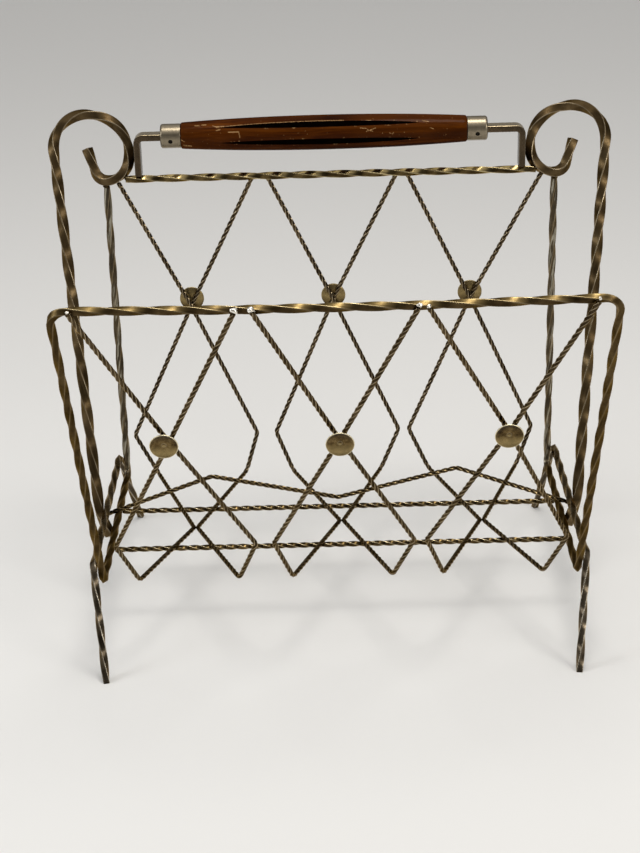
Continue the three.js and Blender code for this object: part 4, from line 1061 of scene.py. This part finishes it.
def grip_mesh():
    """The grip, with columns of the mesh along the flutes' lips, inside them and between them"""
    xs = grip_places()
    inside, between = 8, 9
    points, lip = [], []
    for x in xs:
        radius = grip_radius(x / (GRIP_LENGTH / 2))
        to_end = GRIP_LENGTH / 2 - abs(x)
        if to_end < GRIP_END_ROUND:
            short = 1 - to_end / GRIP_END_ROUND
            radius -= GRIP_END_DROP * (1 - sqrt(max(0, 1 - short**2)))
        across = x + GRIP_SHIFT
        local = (across - GRIP_SHIFT - FLUTE_SHIFT) / FLUTE_HALF_LENGTH
        deep = FLUTE_DEPTH * max(0, 1 - local * local) ** 0.8
        spread = flute_half_width(across) / radius
        gap = 2 * pi / FLUTE_COUNT - 2 * spread
        for i in range(FLUTE_COUNT):
            angle = FLUTE_ELEVATION + i * 2 * pi / FLUTE_COUNT
            for k in range(inside):
                u = -1 + 2 * k / inside
                sunk = deep * sqrt(max(0, 1 - u * u)) if k else 0
                points.append(round_x(radius - sunk, across, angle + spread * u))
            for k in range(between):
                points.append(round_x(radius, across, angle + spread + gap * (k / between)))
            on_lip = 1 if deep > 0 else 0
            for count in (inside, between):
                lip += [on_lip] + [0] * (count - 1)
    columns = FLUTE_COUNT * (inside + between)
    faces, paint = [], []
    for i in range(len(xs) - 1):
        mid = (xs[i] + xs[i + 1]) / 2 - FLUTE_SHIFT
        here, there = i * columns, (i + 1) * columns
        for j in range(columns):
            j2 = (j + 1) % columns
            faces.append((here + j, there + j, there + j2, here + j2))
            in_flute = j % (inside + between) < inside and abs(mid) < FLUTE_HALF_LENGTH
            paint.append(1 if in_flute else 0)
    for i, order in ((0, 1), (len(xs) - 1, -1)):
        faces.append(tuple(range(i * columns, (i + 1) * columns))[::order])
        paint.append(0)
    o = make("grip_wood", points, faces, lip=lip)
    o.data.polygons.foreach_set("material_index", paint)
    return o


grip = grip_mesh()
turn_out(grip)
grip.data.materials.append(wood())
grip.data.materials.append(flute_paint())
settle(grip, "wood", "wood_grip")
weigh_normals(grip)
# the flutes' lips, where paint meets wood, are sharp edges
paints = {}
for p in grip.data.polygons:
    for key in p.edge_keys:
        paints.setdefault(key, set()).add(p.material_index)
sharp_edges = np.array([len(paints[e.key]) > 1 for e in grip.data.edges])
sharp = grip.data.attributes.new("sharp_edge", "BOOLEAN", "EDGE")
sharp.data.foreach_set("value", sharp_edges)


# ------------------------------------------------ weld beads
def bead(name, at, size, stretch, seed, material):
    """A small uneven drop of filler where pieces meet"""
    b = bmesh.new()
    bmesh.ops.create_icosphere(b, subdivisions=3, radius=1)
    r = np.random.default_rng(seed)
    waves = [(r.normal(size=3) * 2.2, r.uniform(0, 6.28), r.uniform(0.04, 0.12)) for _ in range(5)]
    for v in b.verts:
        p = np.array(v.co)
        grow = 1 + sum(h * sin(w @ p + f) for w, f, h in waves)
        v.co = Vector(p * grow * np.array(stretch) * size)
    mesh = bpy.data.meshes.new(name)
    b.to_mesh(mesh)
    b.free()
    mesh.transform(Matrix.Scale(0.001, 4))
    mesh.transform(Matrix.Translation(metres(at)))
    smooth(mesh)
    dress(put(name, mesh), material, "dark_rod")


weld_material = weld_metal()
# The rim beads' sizes, and how far along the wire and into the rim they sit
RIM_BEAD_SIZES = (2.5, 1.3, 1.8, 2.3, 1.2, 1.5)
RIM_BEAD_UP, RIM_BEAD_IN = (1.9, 1), 1.2
RAIL_BEAD_OFFSET = (0, -1.4, -0.4)
for i, (top, bottom, direction) in enumerate(wire_ends):
    at = bottom + unit(direction) * RIM_BEAD_UP[i % 2] - OUT * RIM_BEAD_IN
    bead(f"rim_bead_{i}", at, RIM_BEAD_SIZES[i], (1.1, 0.8, 1), 10 + i, weld_material)
    at = top + np.array(RAIL_BEAD_OFFSET)
    bead(f"rail_bead_{i}", at, 1.5, (1, 0.9, 1), 30 + i, lattice_metal)
for column, name in COLUMNS.items():
    at = (column * COLUMN_PITCH + STRAYS[column][5], KISS_SHIFT[column], FLOOR_HEIGHT)
    bead("kiss_bead_" + name, at, 0.9, (0.9, 1, 0.9), 50 + column, lattice_metal)
for hand, side in LEFT_RIGHT.items():
    # place on the right side, size, stretch, seed and metal
    side_beads = {
        "hook": (
            (FRAME_HALF_WIDTH, REAR, UPRIGHT_TOP[hand] + 0.4), 2.6, (1.1, 1.1, 0.6), 60, dark_rod
        ),
        "rail_end": ((172.5, REAR, RAIL_HEIGHT + 0.8), 2.7, (1, 1, 0.9), 63, bright_rod),
        "bracket": (
            (BRACKET_HALF_SPREAD, REAR - 2.6, BRACKET_SEAT), 1.9, (1.6, 0.8, 0.5), 66, scroll_rod
        ),
        "leg": (
            (LEG_X - LEG_INWARD[hand] - 3.6, FRONT + 8, LEG_BAR_HEIGHT - 1),
            2.2, (0.8, 1.3, 1), 69, dark_rod
        ),
    }
    for name, ((x, y, z), size, stretch, seed, metal) in side_beads.items():
        bead(f"{name}_bead_{side}", (hand * x, y, z), size, stretch, seed + hand, metal)

# ------------------------------------------------ stage, light and camera, in metres
STAGE_HALF = 12
floor_mesh = bpy.data.meshes.new("floor")
corners = [(x * STAGE_HALF, y * STAGE_HALF, 0) for x, y in ((-1, -1), (1, -1), (1, 1), (-1, 1))]
floor_mesh.from_pydata(corners, [], [(0, 1, 2, 3)])
floor = put("floor", floor_mesh)
floor_material, *_ = new_material(
    "pale_floor", Base_Color=(0.78, 0.775, 0.765), Roughness=0.55, Specular_IOR_Level=0.2
)
floor.data.materials.append(floor_material)

# The studio's brightness from below to straight above, with a dark band that the rods reflect
SKY = [
    (0, (0.48, 0.474, 0.463)),
    (0.07, (0.41, 0.405, 0.395)),
    (0.2, (0.36, 0.355, 0.345)),
    (0.32, (0.16, 0.156, 0.15)),
    (0.5, (0.2, 0.196, 0.19)),
    (0.66, (0.75, 0.74, 0.72)),
    (1, (0.95, 0.94, 0.92)),
]
world = bpy.data.worlds.new("studio")
bpy.context.scene.world = world
world.use_nodes = True
wt = world.node_tree
direction = new_node(wt, "TexCoord").outputs["Generated"]
height = new_node(wt, "SeparateXYZ", Vector=direction).outputs["Z"]
fill(wt, wt.nodes["Background"], Color=ramp(wt, height, SKY), Strength=0.85)

LAMP_TARGET = Vector((0, 0, 0.18))
LAMPS = {
    # place, width and height, watts, colour
    "key": ((1.5, -1.3, 1.15), (0.8, 0.8), 13, (1, 0.97, 0.92)),
    "top": ((0.1, -0.15, 2.1), (0.8, 0.6), 15, (1, 0.97, 0.92)),
    "window": ((-1.9, -0.5, 1.2), (0.7, 1.4), 13, (0.94, 0.97, 1)),
}
for name, (at, size, watts, color) in LAMPS.items():
    light = bpy.data.lights.new(name, "AREA")
    light.shape = "RECTANGLE"
    light.size, light.size_y = size
    light.energy = watts
    light.color = color
    lamp = put(name, light)
    lamp.location = at
    lamp.rotation_euler = (LAMP_TARGET - Vector(at)).to_track_quat("-Z", "Y").to_euler()

# The camera, at the photograph's viewing angle: its focal length and height in pixels
FOCAL, IMAGE_HEIGHT, SENSOR_HEIGHT = 1817.8, 853, 24
PITCH, ROLL, YAW = radians(22.97), radians(-1.58), radians(-0.38)
EYE = np.array([-4.56, -1399.4, 745.5])
cos_pitch = cos(PITCH)
forward = np.array([sin(YAW) * cos_pitch, cos(YAW) * cos_pitch, -sin(PITCH)])
level_right = np.array([cos(YAW), -sin(YAW), 0])
level_up = np.cross(level_right, forward)
right = cos(ROLL) * level_right + sin(ROLL) * level_up
up = -sin(ROLL) * level_right + cos(ROLL) * level_up
camera_data = bpy.data.cameras.new("camera")
camera_data.sensor_fit = "VERTICAL"
camera_data.sensor_height = SENSOR_HEIGHT
camera_data.lens = FOCAL / IMAGE_HEIGHT * SENSOR_HEIGHT
camera_data.clip_end = 60
camera = put("camera", camera_data)
camera.matrix_world = Matrix(
    [[*v] for v in np.column_stack([right, up, -forward, metres(EYE)])] + [[0, 0, 0, 1]]
)
bpy.context.scene.camera = camera

bpy.context.scene.view_settings.view_transform = "Standard"

bpy.context.view_layer.update()
